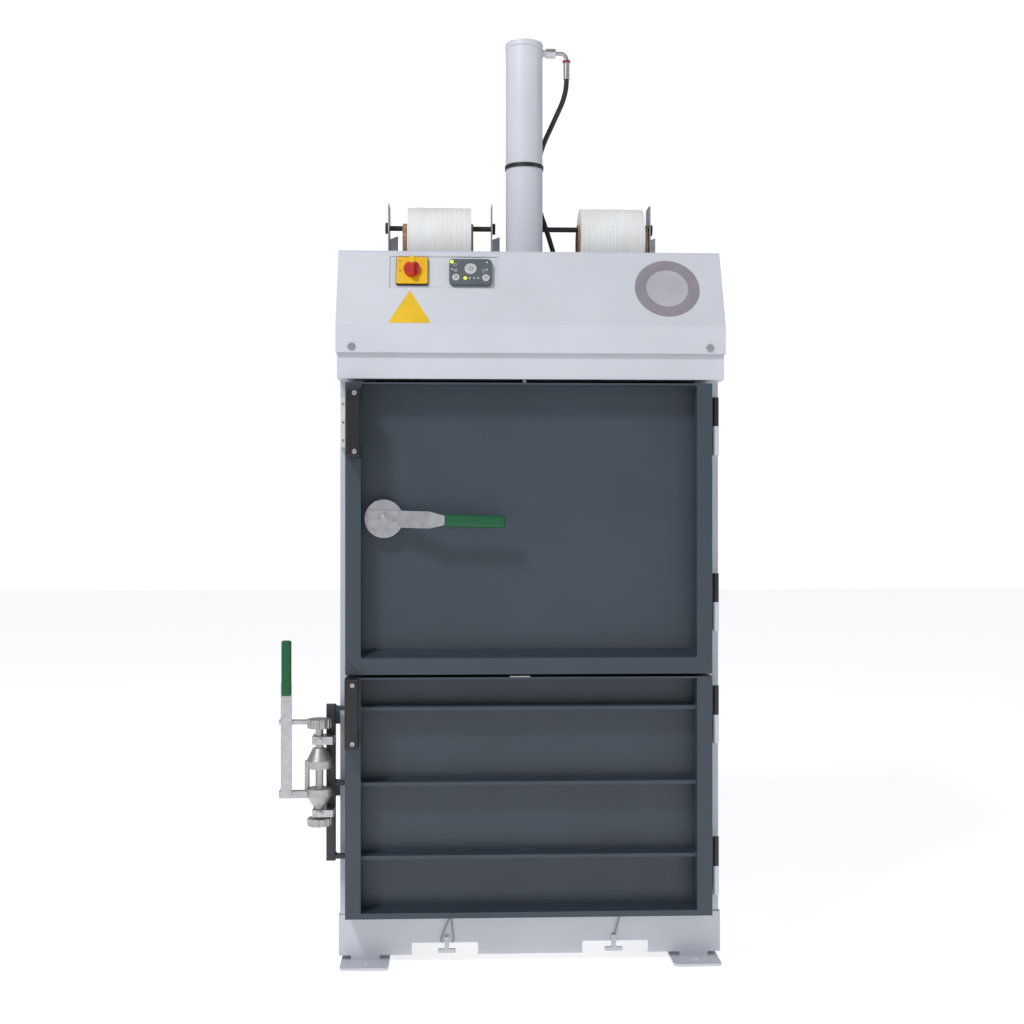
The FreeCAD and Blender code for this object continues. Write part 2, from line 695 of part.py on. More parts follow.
def spool_bracket(x, way):
    """Upright galvanised plate with a hole for the rod, and a front gusset and a foot that point one way."""
    y0 = SPOOL_Y - BRACKET_WIDTH / 2
    y1 = SPOOL_Y + BRACKET_WIDTH / 2
    plate = box(x - BRACKET_SHEET / 2, x + BRACKET_SHEET / 2, y0, y1, ROOF_Z, BRACKET_TOP)
    plate = rounded(plate, 8.0, X_AXIS)
    foot_start, foot_end = sorted((x, x + way * BRACKET_FOOT))
    foot = box(foot_start, foot_end, y0, y1, ROOF_Z, ROOF_Z + BRACKET_SHEET)
    tip = x + way * GUSSET_WIDTH
    low = ROOF_Z + BRACKET_SHEET / 2
    gusset = prism([
        V(x, y1 - 9, low), V(tip, y1 - 9, low), V(tip, y1 - 9, GUSSET_TOP), V(x, y1 - 9, GUSSET_TOP - 8),
    ], V(0, BRACKET_SHEET, 0))
    bracket = joined([plate, foot, gusset])
    hole = rod(SPOOL_ROD_D / 2 + FIT, V(x - 5, SPOOL_Y, SPOOL_ROD_Z), V(x + 5, SPOOL_Y, SPOOL_ROD_Z))
    return bracket.cut(hole)


def spool_rod(x0, x1):
    """Black bar through two brackets, with a cap at each end."""
    reach = 6.0
    bar = rod(SPOOL_ROD_D / 2, V(x0 - reach, SPOOL_Y, SPOOL_ROD_Z), V(x1 + reach, SPOOL_Y, SPOOL_ROD_Z))
    caps = []
    for x, way in ((x0 - BRACKET_SHEET / 2 - FIT, -1), (x1 + BRACKET_SHEET / 2 + FIT, 1)):
        caps.append(rod(13, V(x, SPOOL_Y, SPOOL_ROD_Z), V(x + way * 7, SPOOL_Y, SPOOL_ROD_Z)))
    return joined([bar, *caps])


def spool(x, core_shift):
    """A cardboard core and the strap wound on it."""
    def along(middle, length):
        return V(middle - length / 2, SPOOL_Y, SPOOL_Z), V(middle + length / 2, SPOOL_Y, SPOOL_Z)

    core = ring(CORE_OD / 2, CORE_BORE / 2, *along(x + core_shift, CORE_LENGTH))
    return core, ring(SPOOL_D / 2, CORE_OD / 2, *along(x, SPOOL_WIDTH))


def strap_supply():
    brackets = []
    for side, centre, core_shift in zip(("left", "right"), SPOOL_CENTRES, CORE_SHIFT):
        brackets += [spool_bracket(*place) for place in BRACKETS[side]]
        (x0, _), (x1, _) = BRACKETS[side]
        write(f"{side}_spool_rod", spool_rod(x0, x1))
        core, roll = spool(centre, core_shift)
        write(f"{side}_spool_core", core)
        write(f"{side}_strap_roll", roll)
    write("spool_brackets", group(brackets))


# ---- doors ----
STILE_WIDTH = 32.0
TUBE_WALL = 3.0
PANEL_SHEET = 4.0
RAIL_HEIGHT = 34.0
LEDGE_RISE = 14.0
LOWER_RAIL = 12.0
RIB_LEVELS = (538.0, 382.0, 230.0)
RIB_THICKNESS = 8.0
RIB_FRONT_Y = DOOR_FRONT_Y + 12.0
LOCK_BAR_X = (-HALF - 26.0, -HALF - 7.0)
LOCK_BAR_Y = (DOOR_FRONT_Y + 23.0, DOOR_FRONT_Y + 41.0)
LOCK_BAR_Z = (222.0, 546.0)
HINGES = {"upper": (1126.0, 758.0), "lower": (523.0, 207.0)}


def stile(x0, z0, z1):
    """Hollow upright of a door, drained at the back."""
    x1 = x0 + STILE_WIDTH
    outer = box(x0, x1, DOOR_FRONT_Y, DOOR_BACK_Y, z0, z1)
    inner_y = (DOOR_FRONT_Y + TUBE_WALL, DOOR_BACK_Y - PANEL_SHEET)
    inner = box(x0 + TUBE_WALL, x1 - TUBE_WALL, *inner_y, z0 + TUBE_WALL, z1 - TUBE_WALL)
    middle = x0 + STILE_WIDTH / 2
    drain = rod(4, V(middle, DOOR_BACK_Y - 9, z0 + 20), V(middle, DOOR_BACK_Y + 1, z0 + 20))
    return outer.cut(inner).cut(drain)


def hinge_leaf(low):
    """Strip that joins a door's edge to its knuckle."""
    return box(DOOR_RIGHT, HINGE_X - PIN_D / 2 - 1, HINGE_Y - 3, HINGE_Y + 3, low, low + KNUCKLE_LENGTH)


def knuckles(side):
    """The two upper knuckles of a door, with their leaves."""
    pieces = []
    for low in HINGES[side]:
        start = V(HINGE_X, HINGE_Y, low)
        end = V(HINGE_X, HINGE_Y, low + KNUCKLE_LENGTH)
        knuckle = joined([rod(KNUCKLE_D / 2, start, end), hinge_leaf(low)])
        pieces.append(knuckle.cut(rod(PIN_D / 2 + FIT, start - V(0, 0, 1), start + V(0, 0, 50))))
    return group(pieces)


def frame_knuckles():
    """The lower knuckles, welded to the front edge of the cabinet."""
    pieces = []
    for low in (*HINGES["upper"], *HINGES["lower"]):
        top = low - FIT
        start = V(HINGE_X, HINGE_Y, top - KNUCKLE_LENGTH)
        end = V(HINGE_X, HINGE_Y, top)
        leaf = box(HINGE_X + 1, HINGE_X + KNUCKLE_D / 2, HINGE_Y + 3, FRONT_Y, top - KNUCKLE_LENGTH, top)
        knuckle = joined([rod(KNUCKLE_D / 2, start, end), leaf])
        pieces.append(knuckle.cut(rod(PIN_D / 2, end - V(0, 0, 40), end + V(0, 0, 1))))
    return group(pieces)


def hinge_pins():
    """Four pins, each tight in a frame knuckle and free in a door knuckle."""
    pieces = []
    for low in (*HINGES["upper"], *HINGES["lower"]):
        pieces.append(rod(PIN_D / 2, V(HINGE_X, HINGE_Y, low - FIT - 40), V(HINGE_X, HINGE_Y, low + 45)))
    return group(pieces)


def upper_door():
    """Tray with a stile each side, a sloped bottom rail, a top flange and a latch hole."""
    z0 = UPPER_DOOR_BOTTOM
    z1 = UPPER_DOOR_TOP
    panel = box(DOOR_LEFT, DOOR_RIGHT, DOOR_BACK_Y - PANEL_SHEET, DOOR_BACK_Y, z0, z1)
    flange = box(DOOR_LEFT, DOOR_RIGHT, DOOR_FRONT_Y, DOOR_BACK_Y, z1 - PANEL_SHEET, z1)
    left = DOOR_LEFT + STILE_WIDTH - 1
    right = DOOR_RIGHT - STILE_WIDTH + 1
    top = z0 + RAIL_HEIGHT
    back = DOOR_BACK_Y - PANEL_SHEET
    outline = [
        V(left, DOOR_FRONT_Y, z0), V(left, DOOR_FRONT_Y, top), V(left, back, top + LEDGE_RISE),
        V(left, back, top + LEDGE_RISE - TUBE_WALL), V(left, DOOR_FRONT_Y + TUBE_WALL, top - TUBE_WALL),
        V(left, DOOR_FRONT_Y + TUBE_WALL, z0),
    ]
    rail = prism(outline, V(right - left, 0, 0))
    stiles = [stile(DOOR_LEFT, z0, z1), stile(DOOR_RIGHT - STILE_WIDTH, z0, z1)]
    door = joined([panel, flange, rail, *stiles])
    hole = rod(SHAFT_D / 2 + FIT, V(LATCH_X, DOOR_BACK_Y - 9, LATCH_Z), V(LATCH_X, DOOR_BACK_Y + 1, LATCH_Z))
    return door.cut(hole)


def lower_door():
    """Tray with stiles, top flange, bottom rail and three flat ribs that reach past the left edge."""
    z0 = LOWER_DOOR_BOTTOM
    z1 = LOWER_DOOR_TOP
    panel = box(DOOR_LEFT, DOOR_RIGHT, DOOR_BACK_Y - PANEL_SHEET, DOOR_BACK_Y, z0, z1)
    flange = box(DOOR_LEFT, DOOR_RIGHT, DOOR_FRONT_Y, DOOR_BACK_Y, z1 - PANEL_SHEET, z1)
    rail = box(DOOR_LEFT, DOOR_RIGHT, DOOR_FRONT_Y, DOOR_BACK_Y, z0, z0 + LOWER_RAIL)
    stiles = [stile(DOOR_LEFT, z0, z1), stile(DOOR_RIGHT - STILE_WIDTH, z0, z1)]
    ribs = []
    left = DOOR_LEFT + STILE_WIDTH - 1
    right = DOOR_RIGHT - STILE_WIDTH + 1
    for level in RIB_LEVELS:
        low = level - RIB_THICKNESS / 2
        high = low + RIB_THICKNESS
        ribs.append(box(left, right, RIB_FRONT_Y, DOOR_BACK_Y - 1, low, high))
        ribs.append(box(LOCK_BAR_X[1], DOOR_LEFT + 1, *LOCK_BAR_Y, low, high))
    return joined([panel, flange, rail, *stiles, *ribs])


def lock_bar():
    """Dark upright bar on the ends of the lower door's ribs."""
    return rounded(box(*LOCK_BAR_X, *LOCK_BAR_Y, *LOCK_BAR_Z), 2.0, Z_AXIS)


HANDLE_WIDTH = 26.0
HANDLE_LENGTH = 144.0
HANDLE_DEPTH = 40.0
HANDLE_BAR = 14.0
HANDLE_FOOT = 26.0


def bridge_handle(x, z):
    """Bridge handle with a foot at each end, on a door's left stile; x and z are its centre."""
    half_w = HANDLE_WIDTH / 2
    half_l = HANDLE_LENGTH / 2
    y = DOOR_FRONT_Y
    block = box(x - half_w, x + half_w, y - HANDLE_DEPTH, y, z - half_l, z + half_l)
    block = rounded(block, 6.0, X_AXIS)
    half_gap = half_l - HANDLE_FOOT
    bar_y = y - HANDLE_DEPTH + HANDLE_BAR
    gap = box(x - half_w - 1, x + half_w + 1, bar_y, y + 1, z - half_gap, z + half_gap)
    return block.cut(rounded(gap, 6.0, X_AXIS))


def doors():
    write("upper_door", upper_door())
    write("lower_door", lower_door())
    write("upper_door_knuckles", knuckles("upper"))
    write("lower_door_knuckles", knuckles("lower"))
    write("frame_knuckles", frame_knuckles())
    write("hinge_pins", hinge_pins())
    write("lock_bar", lock_bar())
    write("upper_handle", bridge_handle(DOOR_LEFT + 19.0, 1129.0))
    write("lower_handle", bridge_handle(DOOR_LEFT + 15.0, 534.0))


# ---- upper latch ----
SHAFT_D = 16.0
DISC_D = 80.0
LEVER_WIDTH = 35.0
LEVER_SHEET = 6.0
LEVER_DROOP = 1.5
GRIP_LENGTH = 125.0


def latch_turned(shape):
    """Turns a latch piece to the lever's resting droop."""
    return turned(shape, V(LATCH_X, 0, LATCH_Z), Y_AXIS, LEVER_DROOP)


def latch_shaft():
    """Shaft with a bolt head in front and a flat tongue behind the door."""
    panel_front = DOOR_BACK_Y - PANEL_SHEET
    tongue_y = FRONT_Y + SHEET + TONGUE_GAP
    shaft_end = tongue_y + TONGUE_THICKNESS
    shaft = rod(SHAFT_D / 2, V(LATCH_X, panel_front - 32, LATCH_Z), V(LATCH_X, shaft_end, LATCH_Z))
    head = rod(11, V(LATCH_X, panel_front - 39, LATCH_Z), V(LATCH_X, panel_front - 32, LATCH_Z))
    half = TONGUE_WIDTH / 2
    tongue = box(
        LATCH_X - half, LATCH_X + half, tongue_y, tongue_y + TONGUE_THICKNESS,
        LATCH_Z - TONGUE_LENGTH, LATCH_Z + half,
    )
    return joined([shaft, head, rounded(tongue, 4.0, Y_AXIS)])


def latch_disc():
    """Zinc disc between the lever and the door's panel."""
    panel_front = DOOR_BACK_Y - PANEL_SHEET
    start = V(LATCH_X, panel_front - 26, LATCH_Z)
    end = V(LATCH_X, panel_front - FIT, LATCH_Z)
    disc = rod(DISC_D / 2, start, start + V(0, 6, 0)).fuse(rod(18, start, end))
    return disc.cut(rod(SHAFT_D / 2, start, end)).removeSplitter()


def latch_lever():
    """Flat bar bent outward past the stile's depth, with a square hole and a tapered neck."""
    back = DOOR_BACK_Y - PANEL_SHEET - 26
    front = back - LEVER_SHEET
    x0 = LATCH_X - 33
    bend_in = LATCH_X + 30
    bend_out = LATCH_X + 96
    tip = LATCH_X + 127
    out = 26.0
    outline = [
        V(x0, back, 0), V(bend_in, back, 0), V(bend_out, back - out, 0), V(tip, back - out, 0),
        V(tip, front - out, 0), V(bend_out - 1, front - out, 0), V(bend_in - 1, front, 0), V(x0, front, 0),
    ]
    half = LEVER_WIDTH / 2
    bar = prism([point + V(0, 0, LATCH_Z - half) for point in outline], V(0, 0, LEVER_WIDTH))
    taper = prism([
        V(x0, 0, LATCH_Z - half), V(bend_out, 0, LATCH_Z - half), V(tip, 0, LATCH_Z - half + 8),
        V(tip, 0, LATCH_Z + half - 8), V(bend_out, 0, LATCH_Z + half), V(x0, 0, LATCH_Z + half),
    ], V(0, -400, 0))
    bar = bar.common(taper)
    bar = bar.cut(rod(SHAFT_D / 2, V(LATCH_X, back + 1, LATCH_Z), V(LATCH_X, front - 1, LATCH_Z)))
    square = box(LATCH_X + 17, LATCH_X + 27, front - 3, back + 1, LATCH_Z - 5, LATCH_Z + 5)
    return bar.cut(square)


def latch_grip():
    """Moulded grip pushed over the lever's end."""
    y = DOOR_BACK_Y - PANEL_SHEET - 26 - 26 - LEVER_SHEET / 2
    x0 = LATCH_X + 127
    half = 13.0
    body = box(x0, x0 + GRIP_LENGTH, y - 9, y + 9, LATCH_Z - half, LATCH_Z + half)
    return rounded(rounded(body, 7.0, X_AXIS), 5.0, Y_AXIS)


def upper_latch():
    write("latch_shaft", latch_turned(latch_shaft()))
    write("latch_disc", latch_turned(latch_disc()))
    write("latch_lever", latch_turned(latch_lever()))
    write("latch_grip", latch_turned(latch_grip()))


# ---- lower lock, on the lock bar at the door's left ----
LOCK_X = LOCK_BAR_X[0] - 11.0
LOCK_Y = LOCK_BAR_Y[0] - 29.0
LOCK_SHAFT_R = 8.0
LOCK_CAP_R = 25.0
ARM_LEVELS = ((511.0, 519.0), (360.0, 374.0))
ARM_REACH = 82.0
ARM_HALF = 9.0
TOE = 28.0
CLAMP_LEVELS = ((470.0, 486.0), (322.0, 336.0))
LEVER_X = LOCK_X - 66.0
LOCK_LEVER_Z = (361.0, 600.0)
LOCK_GRIP_Z = (570.0, 683.0)


def ribbed_cap(low, high):
    """Cast cap with grip ribs round its rim."""
    cap = rod(LOCK_CAP_R - 2, V(LOCK_X, LOCK_Y, low), V(LOCK_X, LOCK_Y, high))
    ribs = []
    for step in range(12):
        angle = math.radians(30 * step)
        x = LOCK_X + (LOCK_CAP_R - 3) * math.cos(angle)
        y = LOCK_Y + (LOCK_CAP_R - 3) * math.sin(angle)
        ribs.append(rod(3, V(x, y, low), V(x, y, high)))
    return joined([cap, *ribs])


def lock_body():
    """Cast body: shaft, two ribbed caps, two bells and the loop bar between them."""
    shaft = rod(LOCK_SHAFT_R, V(LOCK_X, LOCK_Y, 303), V(LOCK_X, LOCK_Y, 521))
    upper_bell = rod(26, V(LOCK_X, LOCK_Y, 421), V(LOCK_X, LOCK_Y, 436)).fuse(
        Part.makeCone(26, 13, 26, V(LOCK_X, LOCK_Y, 436), Z_AXIS))
    lower_bell = rod(26, V(LOCK_X, LOCK_Y, 364), V(LOCK_X, LOCK_Y, 379)).fuse(
        Part.makeCone(13, 26, 22, V(LOCK_X, LOCK_Y, 342), Z_AXIS))
    loop = rod(5, V(LOCK_X - 25, LOCK_Y, 364), V(LOCK_X - 25, LOCK_Y, 436))
    return joined([shaft, ribbed_cap(503, 521), ribbed_cap(303, 318), upper_bell, lower_bell, loop])


def lock_arm(low, high):
    """Flat arm from the body to the lever, with a toe that hooks behind the keeper when turned back."""
    arm = box(LOCK_X - ARM_REACH, LOCK_X, LOCK_Y - ARM_HALF, LOCK_Y + ARM_HALF, low, high)
    toe = box(LOCK_X - ARM_REACH, LOCK_X - ARM_REACH + 8, LOCK_Y, LOCK_Y + TOE, low, high)
    return joined([arm, toe])


def lock_lever():
    """Upright flat lever welded to the fronts of the two arms."""
    front = LOCK_Y - ARM_HALF
    bar = rounded(box(LEVER_X - 11, LEVER_X + 11, front - 6, front, *LOCK_LEVER_Z), 4.0, Y_AXIS)
    return joined([bar, *(lock_arm(low, high) for low, high in ARM_LEVELS)]).cut(lock_body())


def lock_grip():
    """Moulded grip over the lever's upper end."""
    y = LOCK_Y - ARM_HALF - 3
    body = box(LEVER_X - 10, LEVER_X + 10, y - 9, y + 9, *LOCK_GRIP_Z)
    body = rounded(rounded(body, 6.0, Z_AXIS), 4.0, X_AXIS)
    socket = box(LEVER_X - 12, LEVER_X + 12, y - 3, y + 3, LOCK_GRIP_Z[0] - 1, LOCK_LEVER_Z[1])
    return body.cut(socket.common(box(LEVER_X - 11, LEVER_X + 11, y - 3, y + 3, 0, 900)))


def lock_clamps():
    """Two bearing blocks bolted to the front of the lock bar."""
    pieces = []
    for low, high in CLAMP_LEVELS:
        block = box(LOCK_X - 14, LOCK_BAR_X[1], LOCK_Y - 14, LOCK_BAR_Y[0], low, high)
        block = rounded(block, 4.0, Z_AXIS)
        block = block.cut(rod(LOCK_SHAFT_R + FIT, V(LOCK_X, LOCK_Y, low - 1), V(LOCK_X, LOCK_Y, high + 1)))
        centre = (low + high) / 2
        bolt = rod(6, V(LOCK_X + 2, LOCK_Y - 20, centre), V(LOCK_X + 2, LOCK_Y - 13, centre))
        pieces.append(joined([block, bolt]))
    return group(pieces)


def lock_keepers():
    """Two plates on the cabinet's left side that the toes hook behind."""
    pieces = []
    for low, high in ARM_LEVELS:
        right = -HALF
        left = LOCK_X + ARM_HALF + 4.0
        pieces.append(box(left, right, FRONT_Y, FRONT_Y + 6, low - 10, high + 10))
    return group(pieces)


def lower_lock():
    write("lock_body", lock_body())
    write("lock_lever", lock_lever())
    write("lock_grip", lock_grip())
    write("lock_clamps", lock_clamps())
    write("lock_keepers", lock_keepers())


# ---- small pieces ----
def door_switch():
    """Slim switch housing on the left front edge beside the upper door."""
    right = DOOR_LEFT - 2.0
    return rounded(box(1 - HALF, right, FRONT_Y - 16, FRONT_Y, 1082, 1186), 2.0, Z_AXIS)


def switch_peg():
    """Peg under the fascia, over the upper door."""
    return rod(4, V(-14, -300, UPPER_DOOR_TOP + 1.5), V(-14, -300, FASCIA_BOTTOM))


STRAP_WIDTH = 14.0
STRAP_SHEET = 1.2


def strap_leg(x0, z0, x1, z1):
    """One flat run of strap down the face of the base."""
    y = FRONT_Y - 4
    half = STRAP_WIDTH / 2
    outline = [V(x0 - half, y, z0), V(x0 + half, y, z0), V(x1 + half, y, z1), V(x1 - half, y, z1)]
    return prism(outline, V(0, -STRAP_SHEET, 0))


def strap_tails():
    """Ends of the two straps: out under the door, down the base and round the cleats."""
    pieces = []
    for x, feet_x in ((-168.0, (-186.0, -158.0)), (190.0, (176.0,))):
        half = STRAP_WIDTH / 2
        front = FRONT_Y - 4 - STRAP_SHEET
        top = box(x - half, x + half, front, FRONT_Y + 30, BASE_TOP, BASE_TOP + STRAP_SHEET)
        legs = [strap_leg(x, BASE_TOP + STRAP_SHEET, foot_x, 56.0) for foot_x in feet_x]
        pieces.append(joined([top, *legs]))
    return group(pieces)


def small_pieces():
    write("door_switch", door_switch())
    write("switch_peg", switch_peg())
    write("strap_tails", strap_tails())


os.makedirs("parts", exist_ok=True)
cabinet()
hood()
press()
hydraulics()
strap_supply()
doors()
upper_latch()
lower_lock()
small_pieces()
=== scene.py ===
import math

import bmesh
import bpy
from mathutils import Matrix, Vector


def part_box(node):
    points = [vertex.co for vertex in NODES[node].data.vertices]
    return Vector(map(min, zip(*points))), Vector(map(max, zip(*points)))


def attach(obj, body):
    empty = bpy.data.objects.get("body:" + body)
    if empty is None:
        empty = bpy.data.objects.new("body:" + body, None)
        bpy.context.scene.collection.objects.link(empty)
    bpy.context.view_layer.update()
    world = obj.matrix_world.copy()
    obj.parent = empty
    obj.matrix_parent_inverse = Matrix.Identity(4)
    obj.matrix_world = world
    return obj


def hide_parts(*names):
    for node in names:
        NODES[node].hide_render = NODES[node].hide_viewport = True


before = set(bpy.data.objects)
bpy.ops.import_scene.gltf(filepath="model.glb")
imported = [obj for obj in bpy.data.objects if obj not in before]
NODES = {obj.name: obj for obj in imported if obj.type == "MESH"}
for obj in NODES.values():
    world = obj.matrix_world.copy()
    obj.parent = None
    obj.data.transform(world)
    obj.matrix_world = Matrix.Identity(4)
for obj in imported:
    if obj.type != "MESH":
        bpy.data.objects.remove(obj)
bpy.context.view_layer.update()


# ---------------------------------------------------------------- materials
def node_material(name):
    """A new material: returns it with its node tree and its shader."""
    material = bpy.data.materials.new(name)
    material.use_nodes = True
    tree = material.node_tree
    shader = tree.nodes["Principled BSDF"]
    return material, tree, shader


def noise(tree, scale, detail=4.0, roughness=0.5, stretch=(1, 1, 1)):
    """Noise on object coordinates, with its own stretch along each axis."""
    coords = tree.nodes.new("ShaderNodeTexCoord")
    mapping = tree.nodes.new("ShaderNodeMapping")
    mapping.inputs["Scale"].default_value = stretch
    tree.links.new(coords.outputs["Object"], mapping.inputs["Vector"])
    texture = tree.nodes.new("ShaderNodeTexNoise")
    texture.inputs["Scale"].default_value = scale
    texture.inputs["Detail"].default_value = detail
    texture.inputs["Roughness"].default_value = roughness
    tree.links.new(mapping.outputs["Vector"], texture.inputs["Vector"])
    return texture.outputs["Fac"]


def ramp(tree, value, low, high, low_at=0.35, high_at=0.65):
    """Maps a value to a colour between two stops."""
    node = tree.nodes.new("ShaderNodeValToRGB")
    first, last = node.color_ramp.elements
    first.position = low_at
    last.position = high_at
    first.color = (*low, 1)
    last.color = (*high, 1)
    tree.links.new(value, node.inputs["Fac"])
    return node.outputs["Color"]


def span(tree, value, low, high):
    """Maps 0..1 to a range of plain numbers."""
    node = tree.nodes.new("ShaderNodeMapRange")
    node.inputs["To Min"].default_value = low
    node.inputs["To Max"].default_value = high
    tree.links.new(value, node.inputs["Value"])
    return node.outputs["Result"]


def bump(tree, shader, height, strength, distance, edge=0.0):
    """Fine surface relief, over edges softened by a small radius."""
    node = tree.nodes.new("ShaderNodeBump")
    if edge:
        soft = tree.nodes.new("ShaderNodeBevel")
        soft.samples = 4
        soft.inputs["Radius"].default_value = edge
        tree.links.new(soft.outputs["Normal"], node.inputs["Normal"])
    node.inputs["Strength"].default_value = strength
    node.inputs["Distance"].default_value = distance
    tree.links.new(height, node.inputs["Height"])
    tree.links.new(node.outputs["Normal"], shader.inputs["Normal"])


def shade(colour, factor):
    """A colour made darker or lighter by a factor."""
    return tuple(min(1.0, part * factor) for part in colour)


def vary_roughness(tree, shader, texture, low, high):
    """Lets the roughness wander between two values."""
    tree.links.new(span(tree, texture, low, high), shader.inputs["Roughness"])


def vary_colour(tree, shader, texture, low, high, **stops):
    """Lets the colour wander between two colours."""
    tree.links.new(ramp(tree, texture, low, high, **stops), shader.inputs["Base Color"])


PAINT_EDGE = 0.0012
PLATED_EDGE = 0.0008


def painted_metal(name, colour, rough=0.35, coat=0.15, grime=0.94):
    """Sprayed paint: orange peel, slight cloudiness and a soft coat."""
    material, tree, shader = node_material(name)
    vary_colour(tree, shader, noise(tree, 6.0, 5.0), shade(colour, grime), colour)
    vary_roughness(tree, shader, noise(tree, 22.0, 6.0), rough - 0.06, rough + 0.1)
    shader.inputs["Coat Weight"].default_value = coat
    shader.inputs["Coat Roughness"].default_value = 0.25
    bump(tree, shader, noise(tree, 900.0, 2.0), 0.12, 0.0004, PAINT_EDGE)
    return material


def plated_steel(name, colour, rough=0.32):
    """Zinc plating: mottled brightness and roughness, with a faint grain."""
    material, tree, shader = node_material(name)
    vary_colour(tree, shader, noise(tree, 70.0, 6.0, 0.6), shade(colour, 0.78), colour, low_at=0.3, high_at=0.7)
    shader.inputs["Metallic"].default_value = 0.9
    vary_roughness(tree, shader, noise(tree, 160.0, 4.0), rough - 0.1, rough + 0.15)
    bump(tree, shader, noise(tree, 300.0, 3.0), 0.15, 0.0003, PLATED_EDGE)
    return material


def moulded_plastic(name, colour, rough=0.4, texture=0.1):
    """Moulded plastic with a fine spark-eroded texture."""
    material, tree, shader = node_material(name)
    vary_colour(tree, shader, noise(tree, 30.0, 3.0), shade(colour, 0.9), colour)
    vary_roughness(tree, shader, noise(tree, 60.0, 3.0), rough - 0.06, rough + 0.06)
    bump(tree, shader, noise(tree, 1600.0, 2.0), texture, 0.0003)
    return material


def woven_strap(name):
    """Woven polyester strap: fine ribs along the tape and a little yarn fuzz."""
    material, tree, shader = node_material(name)
    vary_colour(tree, shader, noise(tree, 9.0, 3.0), (0.86, 0.85, 0.80), (0.95, 0.96, 0.96))
    shader.inputs["Roughness"].default_value = 0.62
    shader.inputs["Sheen Weight"].default_value = 0.25
    bump(tree, shader, noise(tree, 500.0, 3.0, 0.6, (3, 0.4, 0.4)), 0.5, 0.0008)
    return material


def wound_card(name):
    """Brown card wound in layers, seen at its cut end and outside."""
    material, tree, shader = node_material(name)
    fibres = noise(tree, 260.0, 5.0, 0.6, (0.3, 1, 1))
    vary_colour(tree, shader, fibres, (0.23, 0.13, 0.075), (0.42, 0.27, 0.165))
    shader.inputs["Roughness"].default_value = 0.85
    bump(tree, shader, fibres, 0.4, 0.0006)
    return material


def lamp_glow(name, colour, strength):
    """A lit indicator lens."""
    material, tree, shader = node_material(name)
    shader.inputs["Base Color"].default_value = (*colour, 1)
    shader.inputs["Emission Color"].default_value = (*colour, 1)
    shader.inputs["Emission Strength"].default_value = strength
    vary_roughness(tree, shader, noise(tree, 400.0, 2.0), 0.15, 0.3)
    return material


LIGHT_PAINT = painted_metal("light_grey_paint", (0.64, 0.665, 0.725))
DOOR_PAINT = painted_metal("slate_door_paint", (0.043, 0.058, 0.080), 0.42, 0.1, 0.9)
# Black paint; on the door knuckles it is also painted shade.
BLACK_PAINT_AND_SHADE = painted_metal("black_paint", (0.012, 0.012, 0.013), 0.4)
DARK_BAR = painted_metal("dark_bar_paint", (0.03, 0.033, 0.04), 0.45)
UNIT_PAINT = painted_metal("unit_paint", (0.05, 0.08, 0.12), 0.4)
ZINC = plated_steel("zinc_plate", (0.56, 0.57, 0.59))
CAST_ZINC = plated_steel("cast_zinc", (0.52, 0.52, 0.52), 0.42)
GALVANISED = plated_steel("galvanised_sheet", (0.55, 0.58, 0.62), 0.4)
BLACK_PLASTIC = moulded_plastic("black_plastic", (0.013, 0.013, 0.014), 0.38)
GREEN_PLASTIC = moulded_plastic("green_grip", (0.0, 0.10, 0.03), 0.42)
YELLOW_PLASTIC = moulded_plastic("yellow_plate", (0.9, 0.52, 0.0), 0.35)
RED_PLASTIC = moulded_plastic("red_knob", (0.55, 0.03, 0.02), 0.3)
KEYPAD_GREY = moulded_plastic("keypad_grey", (0.1, 0.12, 0.13), 0.45)
BUTTON_GREY = moulded_plastic("button_grey", (0.55, 0.57, 0.6), 0.3)
WHITE_PLASTIC = moulded_plastic("white_plastic", (0.8, 0.8, 0.8), 0.4)
RUBBER = moulded_plastic("hose_rubber", (0.012, 0.012, 0.012), 0.5, 0.3)
STRAP = woven_strap("strap_weave")
CARD = wound_card("card_core")
LAMP_LIT = lamp_glow("lamp_lit", (0.55, 0.85, 0.04), 1.4)
LAMP_OFF = moulded_plastic("lamp_off", (0.75, 0.78, 0.8), 0.25)
PLATE_RIM = moulded_plastic("plate_rim", (0.30, 0.27, 0.31), 0.35)
PLATE_FACE = moulded_plastic("plate_face", (0.50, 0.48, 0.53), 0.3)
SIGN_YELLOW = moulded_plastic("sign_yellow", (0.86, 0.53, 0.0), 0.4)
COLLAR_RED = moulded_plastic("collar_red", (0.35, 0.02, 0.02), 0.4)
# Darker than the door paint: painted shade in the mitre gaps at the corners of the upper door's rail.
SEAM_SHADE_PAINT = painted_metal("seam_shade_paint", (0.035, 0.042, 0.052), 0.5)
# Dark grey for the strap ends under the door: painted shade and shadow of the white strap that hangs there.
STRAP_END_SHADE = moulded_plastic("strap_end_painted_shade", (0.30, 0.29, 0.28), 0.7, 0.4)

